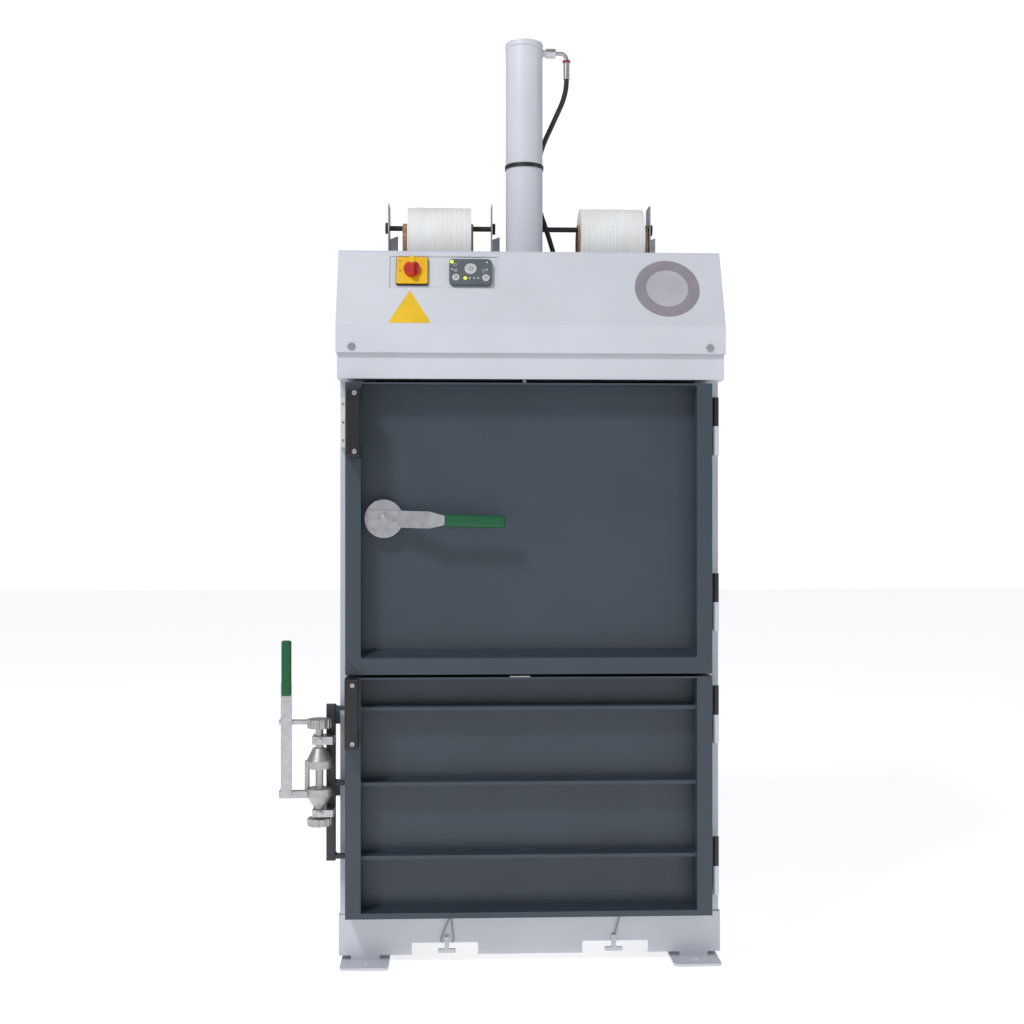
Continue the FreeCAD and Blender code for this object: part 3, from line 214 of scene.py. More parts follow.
FINISHES = {
    LIGHT_PAINT: (
        "side_wall_left", "side_wall_right", "back_wall", "base_frame", "feet", "yoke_plate", "hood_cover",
        "hood_roof", "lower_fascia", "control_plate", "cylinder_tube", "cylinder_cap", "cylinder_flange",
        "frame_knuckles", "strap_cleats",
    ),
    DOOR_PAINT: ("upper_door", "lower_door"),
    # On the door knuckles the black is painted shade: they are door grey, in shadow.
    BLACK_PAINT_AND_SHADE: (
        "press_plate", "clamp_band", "left_spool_rod", "right_spool_rod", "upper_door_knuckles",
        "lower_door_knuckles",
    ),
    DARK_BAR: ("lock_bar",),
    UNIT_PAINT: ("oil_tank", "power_pack", "control_box", "lock_keepers"),
    ZINC: (
        "hood_screws", "hinge_pins", "hose_elbow", "hose_gland", "latch_shaft", "latch_disc", "latch_lever",
        "lock_lever", "lock_clamps", "chamber_floor", "piston_rod",
    ),
    CAST_ZINC: ("lock_body",),
    GALVANISED: ("spool_brackets",),
    BLACK_PLASTIC: ("upper_handle", "lower_handle", "switch_base"),
    GREEN_PLASTIC: ("latch_grip", "lock_grip"),
    YELLOW_PLASTIC: ("switch_plate",),
    RED_PLASTIC: ("switch_knob",),
    KEYPAD_GREY: ("keypad",),
    BUTTON_GREY: ("button_start", "button_left", "button_right"),
    WHITE_PLASTIC: ("switch_peg", "door_switch"),
    RUBBER: ("hydraulic_hose",),
    STRAP: ("left_strap_roll", "right_strap_roll", "strap_tails"),
    CARD: ("left_spool_core", "right_spool_core"),
}


def finish_nodes():
    """Gives every carried-over node its finish."""
    for material, names in FINISHES.items():
        for name in names:
            piece = NODES[name]
            piece.data.materials.clear()
            piece.data.materials.append(material)


# ---------------------------------------------------------------- pieces
def finished(name, mesh, material, body):
    """Turns a mesh in place into a piece that rides on a body, with the given material."""
    piece = bpy.data.objects.new(name, mesh)
    bpy.context.scene.collection.objects.link(piece)
    if material:
        mesh.materials.clear()
        mesh.materials.append(material)
    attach(piece, body)
    return piece


def from_bmesh(name, shape):
    """A mesh with its doubles merged and its faces outward."""
    bmesh.ops.remove_doubles(shape, verts=shape.verts, dist=1e-6)
    bmesh.ops.recalc_face_normals(shape, faces=shape.faces)
    mesh = bpy.data.meshes.new(name)
    shape.to_mesh(mesh)
    shape.free()
    return mesh


SLOPE_FOOT = Vector((0, -0.322, 1.333))
SLOPE_UP = Vector((0, 0.071, 0.166)).normalized()
SLOPE_OUT = Vector((0, -0.166, 0.071)).normalized()


def on_slope(across, up, out=0.0):
    """A point on the hood's slope: across the machine, up the slope and out of it, in metres."""
    return SLOPE_FOOT + Vector((across, 0, 0)) + SLOPE_UP * up + SLOPE_OUT * out


def plate_on_slope(name, outline, low, high, bevel, material, finish, body="cabinet"):
    """A thin plate on the slope with a bevelled front edge; the outline is (across, up) pairs."""
    shape = bmesh.new()
    back = [shape.verts.new(on_slope(across, up, low)) for across, up in outline]
    centre = [sum(pair[k] for pair in outline) / len(outline) for k in (0, 1)]
    rim = [shape.verts.new(on_slope(across, up, high - bevel)) for across, up in outline]
    front = []
    for across, up in outline:
        reach = math.hypot(across - centre[0], up - centre[1])
        keep = 1 - bevel / reach
        inner = (centre[0] + (across - centre[0]) * keep, centre[1] + (up - centre[1]) * keep)
        front.append(shape.verts.new(on_slope(*inner, high)))
    count = len(outline)
    for ring_low, ring_high in ((back, rim), (rim, front)):
        for k in range(count):
            nxt = (k + 1) % count
            shape.faces.new((ring_low[k], ring_low[nxt], ring_high[nxt], ring_high[k]))
    shape.faces.new(front)
    shape.faces.new(list(reversed(back)))
    return finished(name, from_bmesh(name, shape), material, body)


def round_outline(across, up, radius, count=48):
    """A circle on the slope as (across, up) pairs."""
    return [
        (across + radius * math.cos(2 * math.pi * k / count), up + radius * math.sin(2 * math.pi * k / count))
        for k in range(count)
    ]


def soft_corners(corners, radius, steps=5):
    """An outline with each of its corners rounded."""
    outline = []
    count = len(corners)
    for k in range(count):
        corner = Vector(corners[k])
        before = (Vector(corners[k - 1]) - corner).normalized()
        after = (Vector(corners[(k + 1) % count]) - corner).normalized()
        reach = radius / math.tan(before.angle(after) / 2)
        start = corner + before * reach
        end = corner + after * reach
        for step in range(steps + 1):
            t = step / steps
            outline.append(tuple(start * (1 - t) ** 2 + corner * (2 * t * (1 - t)) + end * t**2))
    return outline


# ---- geometry node trees
class Tree:
    """A geometry node tree with named size inputs, which ends in one material."""

    def __init__(self, name, **sizes):
        self.group = bpy.data.node_groups.new(name, "GeometryNodeTree")
        self.group.interface.new_socket("Geometry", in_out="INPUT", socket_type="NodeSocketGeometry")
        self.keys = {}
        for label, value in sizes.items():
            kind = "NodeSocketInt" if isinstance(value, int) else "NodeSocketFloat"
            socket = self.group.interface.new_socket(label, in_out="INPUT", socket_type=kind)
            socket.default_value = value
            self.keys[label] = socket.identifier
        self.group.interface.new_socket("Geometry", in_out="OUTPUT", socket_type="NodeSocketGeometry")
        self.start = self.group.nodes.new("NodeGroupInput")

    def node(self, kind, links=(), **settings):
        """Adds a node; links are (input, output socket or plain value) pairs."""
        node = self.group.nodes.new(kind)
        for key, value in settings.items():
            setattr(node, key, value)
        for key, source in links:
            if isinstance(source, bpy.types.NodeSocket):
                self.group.links.new(source, node.inputs[key])
            else:
                node.inputs[key].default_value = source
        return node

    def size(self, label):
        return self.start.outputs[label]

    def math(self, operation, first, second=0.0):
        return self.node("ShaderNodeMath", ((0, first), (1, second)), operation=operation).outputs[0]

    def xyz(self, x=0.0, y=0.0, z=0.0):
        return self.node("ShaderNodeCombineXYZ", (("X", x), ("Y", y), ("Z", z))).outputs[0]

    def close(self, geometry, material):
        """Realizes the instances and sets the finish."""
        real = self.node("GeometryNodeRealizeInstances", (("Geometry", geometry),)).outputs[0]
        painted = self.node("GeometryNodeSetMaterial", (("Geometry", real),))
        painted.inputs["Material"].default_value = material
        end = self.group.nodes.new("NodeGroupOutput")
        self.group.links.new(painted.outputs[0], end.inputs["Geometry"])
        return self

    def grow(self, name, seed, body, finish, **sizes):
        """Runs the tree on a seed mesh or curve and keeps the result as a plain piece."""
        holder = bpy.data.objects.new(name + "_seed", seed)
        bpy.context.scene.collection.objects.link(holder)
        modifier = holder.modifiers.new("tree", "NODES")
        modifier.node_group = self.group
        for label, value in sizes.items():
            modifier[self.keys[label]] = value
        bpy.context.view_layer.update()
        graph = bpy.context.evaluated_depsgraph_get()
        mesh = bpy.data.meshes.new_from_object(holder.evaluated_get(graph), depsgraph=graph)
        mesh.name = name
        holder.modifiers.remove(modifier)
        bpy.data.objects.remove(holder)
        return finished(name, mesh, None, body)


def points_mesh(name, points, directions):
    """A seed mesh of loose points, each with the direction its piece faces."""
    mesh = bpy.data.meshes.new(name)
    mesh.from_pydata([tuple(point) for point in points], [], [])
    facing = mesh.attributes.new("facing", "FLOAT_VECTOR", "POINT")
    facing.data.foreach_set("vector", [part for direction in directions for part in direction])
    return mesh


def path_curve(name, runs, closed=False):
    """A seed curve of straight or bent runs of points."""
    curve = bpy.data.curves.new(name, "CURVE")
    curve.dimensions = "3D"
    for run in runs:
        spline = curve.splines.new("POLY")
        spline.points.add(len(run) - 1)
        for point, place in zip(spline.points, run):
            point.co = (*place, 1)
        spline.use_cyclic_u = closed
    return curve


def socket_screw_tree(name, material):
    """Round-headed screws with a hexagon socket, one on each seed point, facing its own way."""
    tree = Tree(name, Radius=0.005, Height=0.003)
    radius = tree.size("Radius")
    height = tree.size("Height")
    lower = tree.node("GeometryNodeMeshCylinder", (
        ("Vertices", 20), ("Radius", radius), ("Depth", height),
    )).outputs["Mesh"]
    upper = tree.node("GeometryNodeMeshCone", (
        ("Vertices", 20), ("Radius Top", tree.math("MULTIPLY", radius, 0.78)), ("Radius Bottom", radius),
        ("Depth", tree.math("MULTIPLY", height, 0.35)),
    )).outputs["Mesh"]
    raised = tree.node("GeometryNodeTransform", (
        ("Geometry", upper), ("Translation", tree.xyz(z=tree.math("MULTIPLY", height, 0.5))),
    )).outputs[0]
    head = tree.node("GeometryNodeJoinGeometry", (("Geometry", lower),))
    tree.group.links.new(raised, head.inputs["Geometry"])
    wall = tree.node("GeometryNodeMeshCylinder", (
        ("Vertices", 6), ("Radius", tree.math("MULTIPLY", radius, 0.45)),
        ("Depth", tree.math("MULTIPLY", height, 1.3)),
    )).outputs["Mesh"]
    recess = tree.node("GeometryNodeTransform", (
        ("Geometry", wall), ("Translation", tree.xyz(z=tree.math("MULTIPLY", height, 0.75))),
    )).outputs[0]
    cut = tree.node("GeometryNodeMeshBoolean", (
        ("Mesh 1", head.outputs[0]), ("Mesh 2", recess),
    ), operation="DIFFERENCE")
    facing = tree.node("GeometryNodeInputNamedAttribute", (
        ("Name", "facing"),
    ), data_type="FLOAT_VECTOR").outputs[0]
    turn = tree.node("FunctionNodeAlignRotationToVector", (("Vector", facing),), axis="Z").outputs[0]
    placed = tree.node("GeometryNodeInstanceOnPoints", (
        ("Points", tree.start.outputs["Geometry"]), ("Instance", cut.outputs["Mesh"]), ("Rotation", turn),
    )).outputs[0]
    return tree.close(placed, material)


def weld_bead_tree(name, material):
    """Overlapping flattened weld scales along a path, a little uneven."""
    tree = Tree(name, Pitch=0.0022, Scale=0.0024, Seed=3)
    along = tree.node("GeometryNodeResampleCurve", (
        ("Curve", tree.start.outputs["Geometry"]), ("Length", tree.size("Pitch")),
    ), mode="LENGTH").outputs[0]
    scale = tree.node("GeometryNodeMeshIcoSphere", (
        ("Radius", tree.size("Scale")), ("Subdivisions", 2),
    )).outputs["Mesh"]
    uneven = tree.node("FunctionNodeRandomValue", (
        (2, 0.8), (3, 1.15), ("Seed", tree.size("Seed")),
    ), data_type="FLOAT").outputs[1]
    placed = tree.node("GeometryNodeInstanceOnPoints", (
        ("Points", along), ("Instance", scale), ("Scale", tree.xyz(uneven, uneven, uneven)),
    )).outputs[0]
    return tree.close(placed, material)


def wound_strap_tree(name, material):
    """Strap wound side by side round a core: many narrow turns of slightly different height."""
    tree = Tree(name, Turns=40, Width=0.148, Radius=0.0795, Inner=0.0427, Seed=1)
    pitch = tree.math("DIVIDE", tree.size("Width"), tree.size("Turns"))
    middle = tree.math("MULTIPLY", tree.math("ADD", tree.size("Radius"), tree.size("Inner")), 0.5)
    depth = tree.math("SUBTRACT", tree.size("Radius"), tree.size("Inner"))
    circle = tree.node("GeometryNodeCurvePrimitiveCircle", (
        ("Resolution", 72), ("Radius", middle),
    )).outputs["Curve"]
    section = tree.node("GeometryNodeCurvePrimitiveQuadrilateral", (
        ("Width", depth), ("Height", tree.math("MULTIPLY", pitch, 1.02)),
    )).outputs["Curve"]
    soft = tree.node("GeometryNodeFilletCurve", (
        ("Curve", section), ("Radius", tree.math("MULTIPLY", pitch, 0.3)), ("Count", 2),
    ), mode="POLY").outputs[0]
    turn = tree.node("GeometryNodeCurveToMesh", (("Curve", circle), ("Profile Curve", soft))).outputs[0]
    upright = tree.node("GeometryNodeTransform", (
        ("Geometry", turn), ("Rotation", (0, math.pi / 2, 0)),
    )).outputs[0]
    index = tree.node("GeometryNodeInputIndex").outputs[0]
    line = tree.node("GeometryNodeMeshLine", (
        ("Count", tree.size("Turns")), ("Start Location", (0, 0, 0)), ("Offset", tree.xyz(pitch)),
    ), mode="OFFSET").outputs[0]
    shift = tree.math("MULTIPLY", tree.math("SUBTRACT", tree.size("Turns"), 1.0), -0.5)
    start = tree.xyz(tree.math("MULTIPLY", shift, pitch))
    centred = tree.node("GeometryNodeTransform", (("Geometry", line), ("Translation", start))).outputs[0]
    uneven = tree.node("FunctionNodeRandomValue", (
        (2, 0.985), (3, 1.0), ("ID", index), ("Seed", tree.size("Seed")),
    ), data_type="FLOAT").outputs[1]
    placed = tree.node("GeometryNodeInstanceOnPoints", (
        ("Points", centred), ("Instance", upright), ("Scale", tree.xyz(1.0, uneven, uneven)),
    )).outputs[0]
    spool = tree.node("GeometryNodeInstanceOnPoints", (
        ("Points", tree.start.outputs["Geometry"]), ("Instance", placed),
    )).outputs[0]
    return tree.close(spool, material)


# ---- hydraulic hose
HOSE_ROUTE = [
    (0.098, 0, 1.9475), (0.098, 0, 1.915), (0.072, 0.022, 1.860), (0.040, 0.050, 1.795), (0.028, 0.062, 1.725),
    (0.036, 0.064, 1.668), (0.055, 0.059, 1.612), (0.0705, 0.054, 1.560), (0.081, 0.051, 1.521),
]
HOSE_DIAMETER = 0.0115
COLLAR_LEVELS = (1.9868, 1.9895)


def hydraulic_hose():
    """Rubber hose from the port's ferrule down behind the cylinder into the roof."""
    curve = bpy.data.curves.new("pressure_hose", "CURVE")
    curve.dimensions = "3D"
    spline = curve.splines.new("NURBS")
    spline.points.add(len(HOSE_ROUTE) - 1)
    for point, place in zip(spline.points, HOSE_ROUTE):
        point.co = (*place, 1)
    spline.order_u = 3
    spline.use_endpoint_u = True
    spline.resolution_u = 12
    curve.bevel_depth = HOSE_DIAMETER / 2
    curve.bevel_resolution = 5
    curve.use_fill_caps = True
    hose = bpy.data.objects.new("pressure_hose", curve)
    bpy.context.scene.collection.objects.link(hose)
    curve.materials.append(RUBBER)
    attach(hose, "cabinet")
    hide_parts("hydraulic_hose")


def hose_collar():
    """Two red plastic rings on top of the ferrule."""
    tree = Tree("collar_ring", Radius=0.0078, Thickness=0.0014)

    def loop_of(count, label):
        return tree.node("GeometryNodeCurvePrimitiveCircle", (
            ("Resolution", count), ("Radius", tree.size(label)),
        ))

    circle = loop_of(32, "Radius")
    section = loop_of(8, "Thickness")
    loop = tree.node("GeometryNodeCurveToMesh", (
        ("Curve", circle.outputs["Curve"]), ("Profile Curve", section.outputs["Curve"]),
    )).outputs[0]
    placed = tree.node("GeometryNodeInstanceOnPoints", (
        ("Points", tree.start.outputs["Geometry"]), ("Instance", loop),
    )).outputs[0]
    tree.close(placed, COLLAR_RED)
    rings = [Vector((HOSE_ROUTE[0][0], 0, level)) for level in COLLAR_LEVELS]
    points = points_mesh("collar_points", rings, [(0, 0, 1)] * 2)
    tree.grow("hose_collar_rings", points, "cabinet", "red_plastic")


# ---- strap on the spools
STRAP_TURNS = 44


def strap_rolls():
    """The strap wound on both spools, turn by turn."""
    tree = wound_strap_tree("wound_strap", STRAP)
    for side, seed in (("left", 1), ("right", 7)):
        low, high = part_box(f"{side}_strap_roll")
        middle = (Vector(low) + Vector(high)) / 2
        radius = (high[2] - low[2]) / 2
        core_low, core_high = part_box(f"{side}_spool_core")
        inner = (core_high[2] - core_low[2]) / 2 + 0.0003
        seat = points_mesh(f"{side}_spool_middle", [middle], [(1, 0, 0)])
        roll = tree.grow(
            f"{side}_wound_strap", seat, f"{side}_spool", "strap", Turns=STRAP_TURNS,
            Width=high[0] - low[0] - 0.0002, Radius=radius - 0.0001, Inner=inner, Seed=seed,
        )
        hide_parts(f"{side}_strap_roll")


# ---- plates and lamps on the hood
TRIANGLE_CORNERS = ((-0.2975, 0.004), (-0.2085, 0.004), (-0.253, 0.083))
ROUND_PLATE_AT = (0.2878, 0.0912)
RIM_RADIUS = 0.0685
FACE_RADIUS = 0.0445
PLATE_BEVEL = 0.0004
PLATE_SPAN = (-0.0002, 0.0008)
FACE_SPAN = (0.0006, 0.0016)


def blank_plates():
    """The plain triangular plate under the switch and the plain round plate at the right."""
    triangle = soft_corners(TRIANGLE_CORNERS, 0.003)
    plate_on_slope("blank_triangle_plate", triangle, *PLATE_SPAN, PLATE_BEVEL, SIGN_YELLOW, "yellow_plastic")
    rim = round_outline(*ROUND_PLATE_AT, RIM_RADIUS, 72)
    plate_on_slope("round_plate_rim", rim, *PLATE_SPAN, PLATE_BEVEL, PLATE_RIM, "light_paint")
    face = round_outline(*ROUND_PLATE_AT, FACE_RADIUS, 72)
    plate_on_slope("round_plate_face", face, *FACE_SPAN, PLATE_BEVEL, PLATE_FACE, "light_paint")


KEYPAD_FACE = 0.008
LENS_FOOT = 0.0075
LIT_LAMPS = ((-0.1654, 0.1485), (-0.1373, 0.1085))
UNLIT_LAMPS = (
    (-0.1653, 0.1307), (-0.0917, 0.1479), (-0.0918, 0.1296), (-0.128, 0.1085), (-0.1188, 0.1086),
    (-0.1102, 0.1087),
)


def keypad_lamps():
    """Small round indicator lenses on the keypad, two of them lit."""
    for k, place in enumerate(LIT_LAMPS):
        lens = round_outline(*place, 0.0036, 20)
        plate_on_slope(f"lit_lamp_{k + 1}", lens, LENS_FOOT, 0.0092, 0.0008, LAMP_LIT, "button_grey")
    for k, place in enumerate(UNLIT_LAMPS):
        lens = round_outline(*place, 0.0018, 16)
        plate_on_slope(f"unlit_lamp_{k + 1}", lens, LENS_FOOT, 0.0087, 0.0004, LAMP_OFF, "button_grey")


def ring_on_slope(name, across, up, low, high, inner, outer, material, finish, body="cabinet", gap=0.0):
    """A flat ring on the slope, closed or with a gap at its top."""
    shape = bmesh.new()
    count = 36
    turns = [gap / 2 + (2 * math.pi - gap) * k / count + math.pi / 2 for k in range(count + 1)]
    loops = []
    for angle in turns:
        along = (math.cos(angle), math.sin(angle))
        corners = [(inner, low), (outer, low), (outer, high), (inner, high)]
        loops.append([
            shape.verts.new(on_slope(across + along[0] * reach, up + along[1] * reach, out))
            for reach, out in corners
        ])
    for k in range(count):
        for m in range(4):
            n = (m + 1) % 4
            shape.faces.new((loops[k][m], loops[k][n], loops[k + 1][n], loops[k + 1][m]))
    if gap:
        shape.faces.new(loops[0])
        shape.faces.new(list(reversed(loops[-1])))
    return finished(name, from_bmesh(name, shape), material, body)


MARK_SINK = 0.0004
MARK_RISE = 0.0003
LINE_WIDTH = 0.0008
MARK_BEVEL = 0.0001
BUTTON_HEIGHT = 0.003


def keypad_marks():
    """Generic rings on the three buttons, a bar on the start button, rings and lines beside the lamps."""
    top = KEYPAD_FACE + BUTTON_HEIGHT
    on_top = (top - MARK_SINK, top + MARK_RISE)
    on_face = (KEYPAD_FACE - MARK_SINK, KEYPAD_FACE + MARK_RISE)
    ring_on_slope("start_mark", -0.126, 0.1305, *on_top, 0.0038, 0.0048, KEYPAD_GREY, "keypad_grey",
                  "button_start", 0.9)
    bar = [(-0.1264, 0.1315), (-0.1256, 0.1315), (-0.1256, 0.1365), (-0.1264, 0.1365)]
    plate_on_slope("start_mark_bar", bar, *on_top, MARK_BEVEL, KEYPAD_GREY, "keypad_grey", "button_start")
    for side, across, up in (("left", -0.157, 0.110), ("right", -0.094, 0.109)):
        ring_on_slope(f"{side}_mark", across, up, *on_top, 0.0024, 0.0032, KEYPAD_GREY, "keypad_grey",
                      f"button_{side}")
    for k, (across, up) in enumerate(((-0.1585, 0.1415), (-0.0985, 0.1265))):
        ring_on_slope(f"face_mark_{k + 1}", across, up, *on_face, 0.0028, 0.0034, LAMP_OFF, "button_grey")
    for k, up in enumerate((0.1252, 0.1275, 0.1298)):
        line = [(-0.1615, up), (-0.1545, up), (-0.1545, up + LINE_WIDTH), (-0.1615, up + LINE_WIDTH)]
        plate_on_slope(f"face_line_{k + 1}", line, *on_face, MARK_BEVEL, LAMP_OFF, "button_grey")


GRIP_CAP_CORNERS = ((-0.2545, 0.1345), (-0.2435, 0.1345), (-0.2435, 0.1518), (-0.2545, 0.1518))
DASH_ENDS = (-0.2765, -0.2715)
DASH_WIDTH = 0.0014


def switch_lever_cap():
    """Yellow cap on the upper half of the main switch's grip bar, and two plain dashes on its plate."""
    cap = soft_corners(GRIP_CAP_CORNERS, 0.003)
    plate_on_slope("switch_lever_cap", cap, 0.0135, 0.0265, 0.001, YELLOW_PLASTIC, "yellow_plastic",
                   "switch_knob")
    start, end = DASH_ENDS
    for k, up in enumerate((0.1265, 0.151)):
        dash = [(start, up), (end, up), (end, up + DASH_WIDTH), (start, up + DASH_WIDTH)]
        plate_on_slope(f"switch_dash_{k + 1}", dash, 0.0056, 0.0063, MARK_BEVEL, DARK_BAR, "yellow_plastic")


# ---- screws
FORWARD = (0, -1, 0)
UPWARD = (0, 0, 1)
HANDLE_SCREW_INSET = 0.0125
SWITCH_SCREW_INSET = 0.014
BRACKET_FOOT_TOP = 1.503
BRACKET_SCREW_DEPTHS = (0.062, 0.085)


def screws():
    """Socket screws: in the handles' feet, on the switch strip and on the spool brackets' feet."""
    tree = socket_screw_tree("socket_screw", ZINC)

    def grow_screws(name, seed, places, facing, body, radius, height):
        points = points_mesh(seed, places, [facing] * len(places))
        tree.grow(name, points, body, "zinc", Radius=radius, Height=height)

    for side in ("upper", "lower"):
        low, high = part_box(f"{side}_handle")
        middle = (low[0] + high[0]) / 2 + 0.003
        levels = (low[2] + HANDLE_SCREW_INSET, high[2] - HANDLE_SCREW_INSET)
        places = [(middle, low[1] - 0.0006, level) for level in levels]
        grow_screws(f"{side}_handle_screws", "screw_points", places, FORWARD, f"{side}_door", 0.0052, 0.004)
    low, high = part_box("door_switch")
    middle = (low[0] + high[0]) / 2
    levels = (low[2] + SWITCH_SCREW_INSET, (low[2] + high[2]) / 2, high[2] - SWITCH_SCREW_INSET)
    places = [(middle, low[1], level) for level in levels]
    grow_screws("door_switch_screws", "switch_screw_points", places, FORWARD, "cabinet", 0.0028, 0.0014)
    low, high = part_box("spool_brackets")
    columns = (low[0] + 0.012, -0.0634, 0.002, high[0] - 0.010)
    places = [(across, depth, BRACKET_FOOT_TOP) for across in columns for depth in BRACKET_SCREW_DEPTHS]
    grow_screws("bracket_foot_screws", "bracket_points", places, UPWARD, "cabinet", 0.005, 0.004)


BOLT_RINGS = ((0.0085, -0.0005), (0.0085, 0.0032), (0.0070, 0.0042))
BOLT_TURN = 0.3


def latch_bolt():
    """Hexagon bolt head in the middle of the upper latch, with a chamfered front edge."""
    low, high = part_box("latch_disc")
    centre = Vector(((low[0] + high[0]) / 2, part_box("latch_shaft")[0][1], (low[2] + high[2]) / 2))
    shape = bmesh.new()
    rings = []
    for radius, out in BOLT_RINGS:
        ring = []
        for k in range(6):
            angle = math.pi / 3 * k + BOLT_TURN
            corner = Vector((radius * math.cos(angle), -out, radius * math.sin(angle)))
            ring.append(shape.verts.new(centre + corner))
        rings.append(ring)
    for lower, upper in zip(rings, rings[1:]):
        for k in range(6):
            n = (k + 1) % 6
            shape.faces.new((lower[k], lower[n], upper[n], upper[k]))
    shape.faces.new(rings[-1])
    shape.faces.new(list(reversed(rings[0])))
    finished("latch_bolt_head", from_bmesh("latch_bolt_head", shape), ZINC, "upper_latch")


# ---- welds and seams
STILE_EDGES = (-0.353, 0.345)
PANEL_Y = -0.268
RIB_FRONT_Y = -0.306
RIB_LEVELS = (0.538, 0.382, 0.230)
RAIL_SLOPE_FOOT = 0.6445
RAIL_TOP = 0.6585
FLANGE_LEVEL = 1.209


def door_welds():
    """Weld beads along the ribs' ends, the stiles' inner corners and the lock bar."""
    tree = weld_bead_tree("weld_bead", DOOR_PAINT)
    runs = []
    for level in RIB_LEVELS:
        for x in STILE_EDGES:
            for side in (0.004, -0.004):
                runs.append([(x, RIB_FRONT_Y, level + side), (x, PANEL_Y - 0.001, level + side)])
        for start in (-0.30, -0.16, -0.02, 0.12, 0.26):
            runs.append([(start, PANEL_Y, level + 0.0045), (start + 0.035, PANEL_Y, level + 0.0045)])
    for level in RIB_LEVELS:
        runs.append([(-0.407, -0.2965, level + 0.004), (-0.407, -0.279, level + 0.004)])
    tree.grow("lower_door_welds", path_curve("lower_door_weld_paths", runs), "lower_door", "door_paint", Seed=5)
    runs = [[(x, -0.317, RAIL_SLOPE_FOOT), (x, PANEL_Y, RAIL_TOP)] for x in STILE_EDGES]
    for start in (-0.33, -0.1, 0.1, 0.30):
        runs.append([(start, PANEL_Y - 0.0005, RAIL_TOP), (start + 0.03, PANEL_Y - 0.0005, RAIL_TOP)])
    runs += [[(x, -0.318, FLANGE_LEVEL), (x, PANEL_Y, FLANGE_LEVEL)] for x in STILE_EDGES]
    tree.grow("upper_door_welds", path_curve("upper_door_weld_paths", runs), "upper_door", "door_paint", Seed=9)


SEAM_Y = -0.319
SEAM_FOOT = 0.6105
SEAM_HALF_WIDTH = 0.0011
SEAM_RISE = 0.0005


def corner_seams():
    """Dressed mitre welds across the corners where the upper door's rail meets its stiles, darker than the door
    as painted shade of the mitre gap.
    """
    for side, outer, inner in (("left", -0.3845, -0.3535), ("right", 0.3765, 0.3455)):
        low = Vector((inner, SEAM_Y, SEAM_FOOT))
        high = Vector((outer, SEAM_Y, SEAM_FOOT + abs(outer - inner)))
        along = (high - low).normalized()
        wide = Vector((along.z, 0, -along.x)) * SEAM_HALF_WIDTH
        out = Vector((0, -SEAM_RISE, 0))
        shape = bmesh.new()
        base = [low - wide, low + wide, high + wide, high - wide]
        back = [shape.verts.new(point - out * 0.6) for point in base]
        crown = [shape.verts.new(point) for point in (low + out, high + out)]
        shape.faces.new((back[0], back[3], crown[1], crown[0]))
        shape.faces.new((back[1], crown[0], crown[1], back[2]))
        shape.faces.new((back[0], crown[0], back[1]))
        shape.faces.new((back[3], back[2], crown[1]))
        shape.faces.new((back[0], back[1], back[2], back[3]))
        mesh = from_bmesh("corner_seam", shape)
        finished(f"{side}_corner_seam", mesh, SEAM_SHADE_PAINT, "upper_door")


CAP_WELD_RADIUS = 0.0426
PORT_WELD_X = 0.0424
PORT_WELD_RADIUS = 0.0085
PORT_LEVEL = 2.007


def cabinet_welds():
    """Weld beads round the cylinder's cap and its port."""
    tree = weld_bead_tree("paint_covered_bead", LIGHT_PAINT)
    radius = CAP_WELD_RADIUS
    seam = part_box("cylinder_cap")[0][2] - 0.001
    cap = [(radius * math.cos(k * math.pi / 24), radius * math.sin(k * math.pi / 24), seam) for k in range(48)]
    tree.grow("cap_weld", path_curve("cap_weld_path", [cap], True), "cabinet", "light_paint", Pitch=0.0028,
              Scale=0.0016)
    radius = PORT_WELD_RADIUS
    port = [
        (PORT_WELD_X, radius * math.cos(k * math.pi / 12), PORT_LEVEL + radius * math.sin(k * math.pi / 12))
        for k in range(24)
    ]
    tree.grow("port_weld", path_curve("port_weld_path", [port], True), "cabinet", "light_paint", Pitch=0.002,
              Scale=0.0014)


# ---- strap ends at the base
STRAP_TOPS_AND_FEET = ((-0.168, (-0.1885, -0.1615)), (0.190, (0.1765,)))
STRAP_HALF_WIDTH = 0.0016
STRAP_THICKNESS = 0.0006


def strap_loops():
    """Narrow strap ends that come out under the door and run down to the cleats, in dark grey as painted shade
    and shadow of the white strap.
    """
    for k, (top_x, feet_x) in enumerate(STRAP_TOPS_AND_FEET):
        shape = bmesh.new()
        for foot_x in feet_x:
            end_x = foot_x * 0.8 - 0.035 if foot_x < 0 else foot_x
            route = [
                Vector((top_x, -0.2705, 0.1005)), Vector((top_x * 0.85 + foot_x * 0.15, -0.2712, 0.092)),
                Vector((top_x * 0.3 + foot_x * 0.7, -0.2708, 0.064)), Vector((foot_x, -0.2690, 0.0455)),
                Vector((end_x, -0.2675, 0.0405)),
            ]
            edges = []
            for index, place in enumerate(route):
                ahead = (route[min(index + 1, len(route) - 1)] - route[max(index - 1, 0)]).normalized()
                side = ahead.cross(Vector((0, -1, 0))).normalized() * STRAP_HALF_WIDTH
                thick = Vector((0, -STRAP_THICKNESS, 0))
                section = (-side, -side + thick, side + thick, side)
                edges.append([shape.verts.new(place + part) for part in section])
            for first, last in zip(edges, edges[1:]):
                for m in range(4):
                    n = (m + 1) % 4
                    shape.faces.new((first[m], first[n], last[n], last[m]))
            shape.faces.new(edges[0])
            shape.faces.new(list(reversed(edges[-1])))
        mesh = from_bmesh(f"strap_end_{k + 1}", shape)
        # The dark grey is painted shade and the strands' painted shadows, not the strap's own white.
        piece = finished(f"strap_end_{k + 1}", mesh, STRAP_END_SHADE, "cabinet")
        if k == 0:
            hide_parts("strap_tails")


TOP_BAR_SIZE = (0.042, 0.012, 0.002)
TOP_BAR_X = -0.024
TOP_BAR_BACK = 0.008
TOP_BAR_RISE = 0.0008


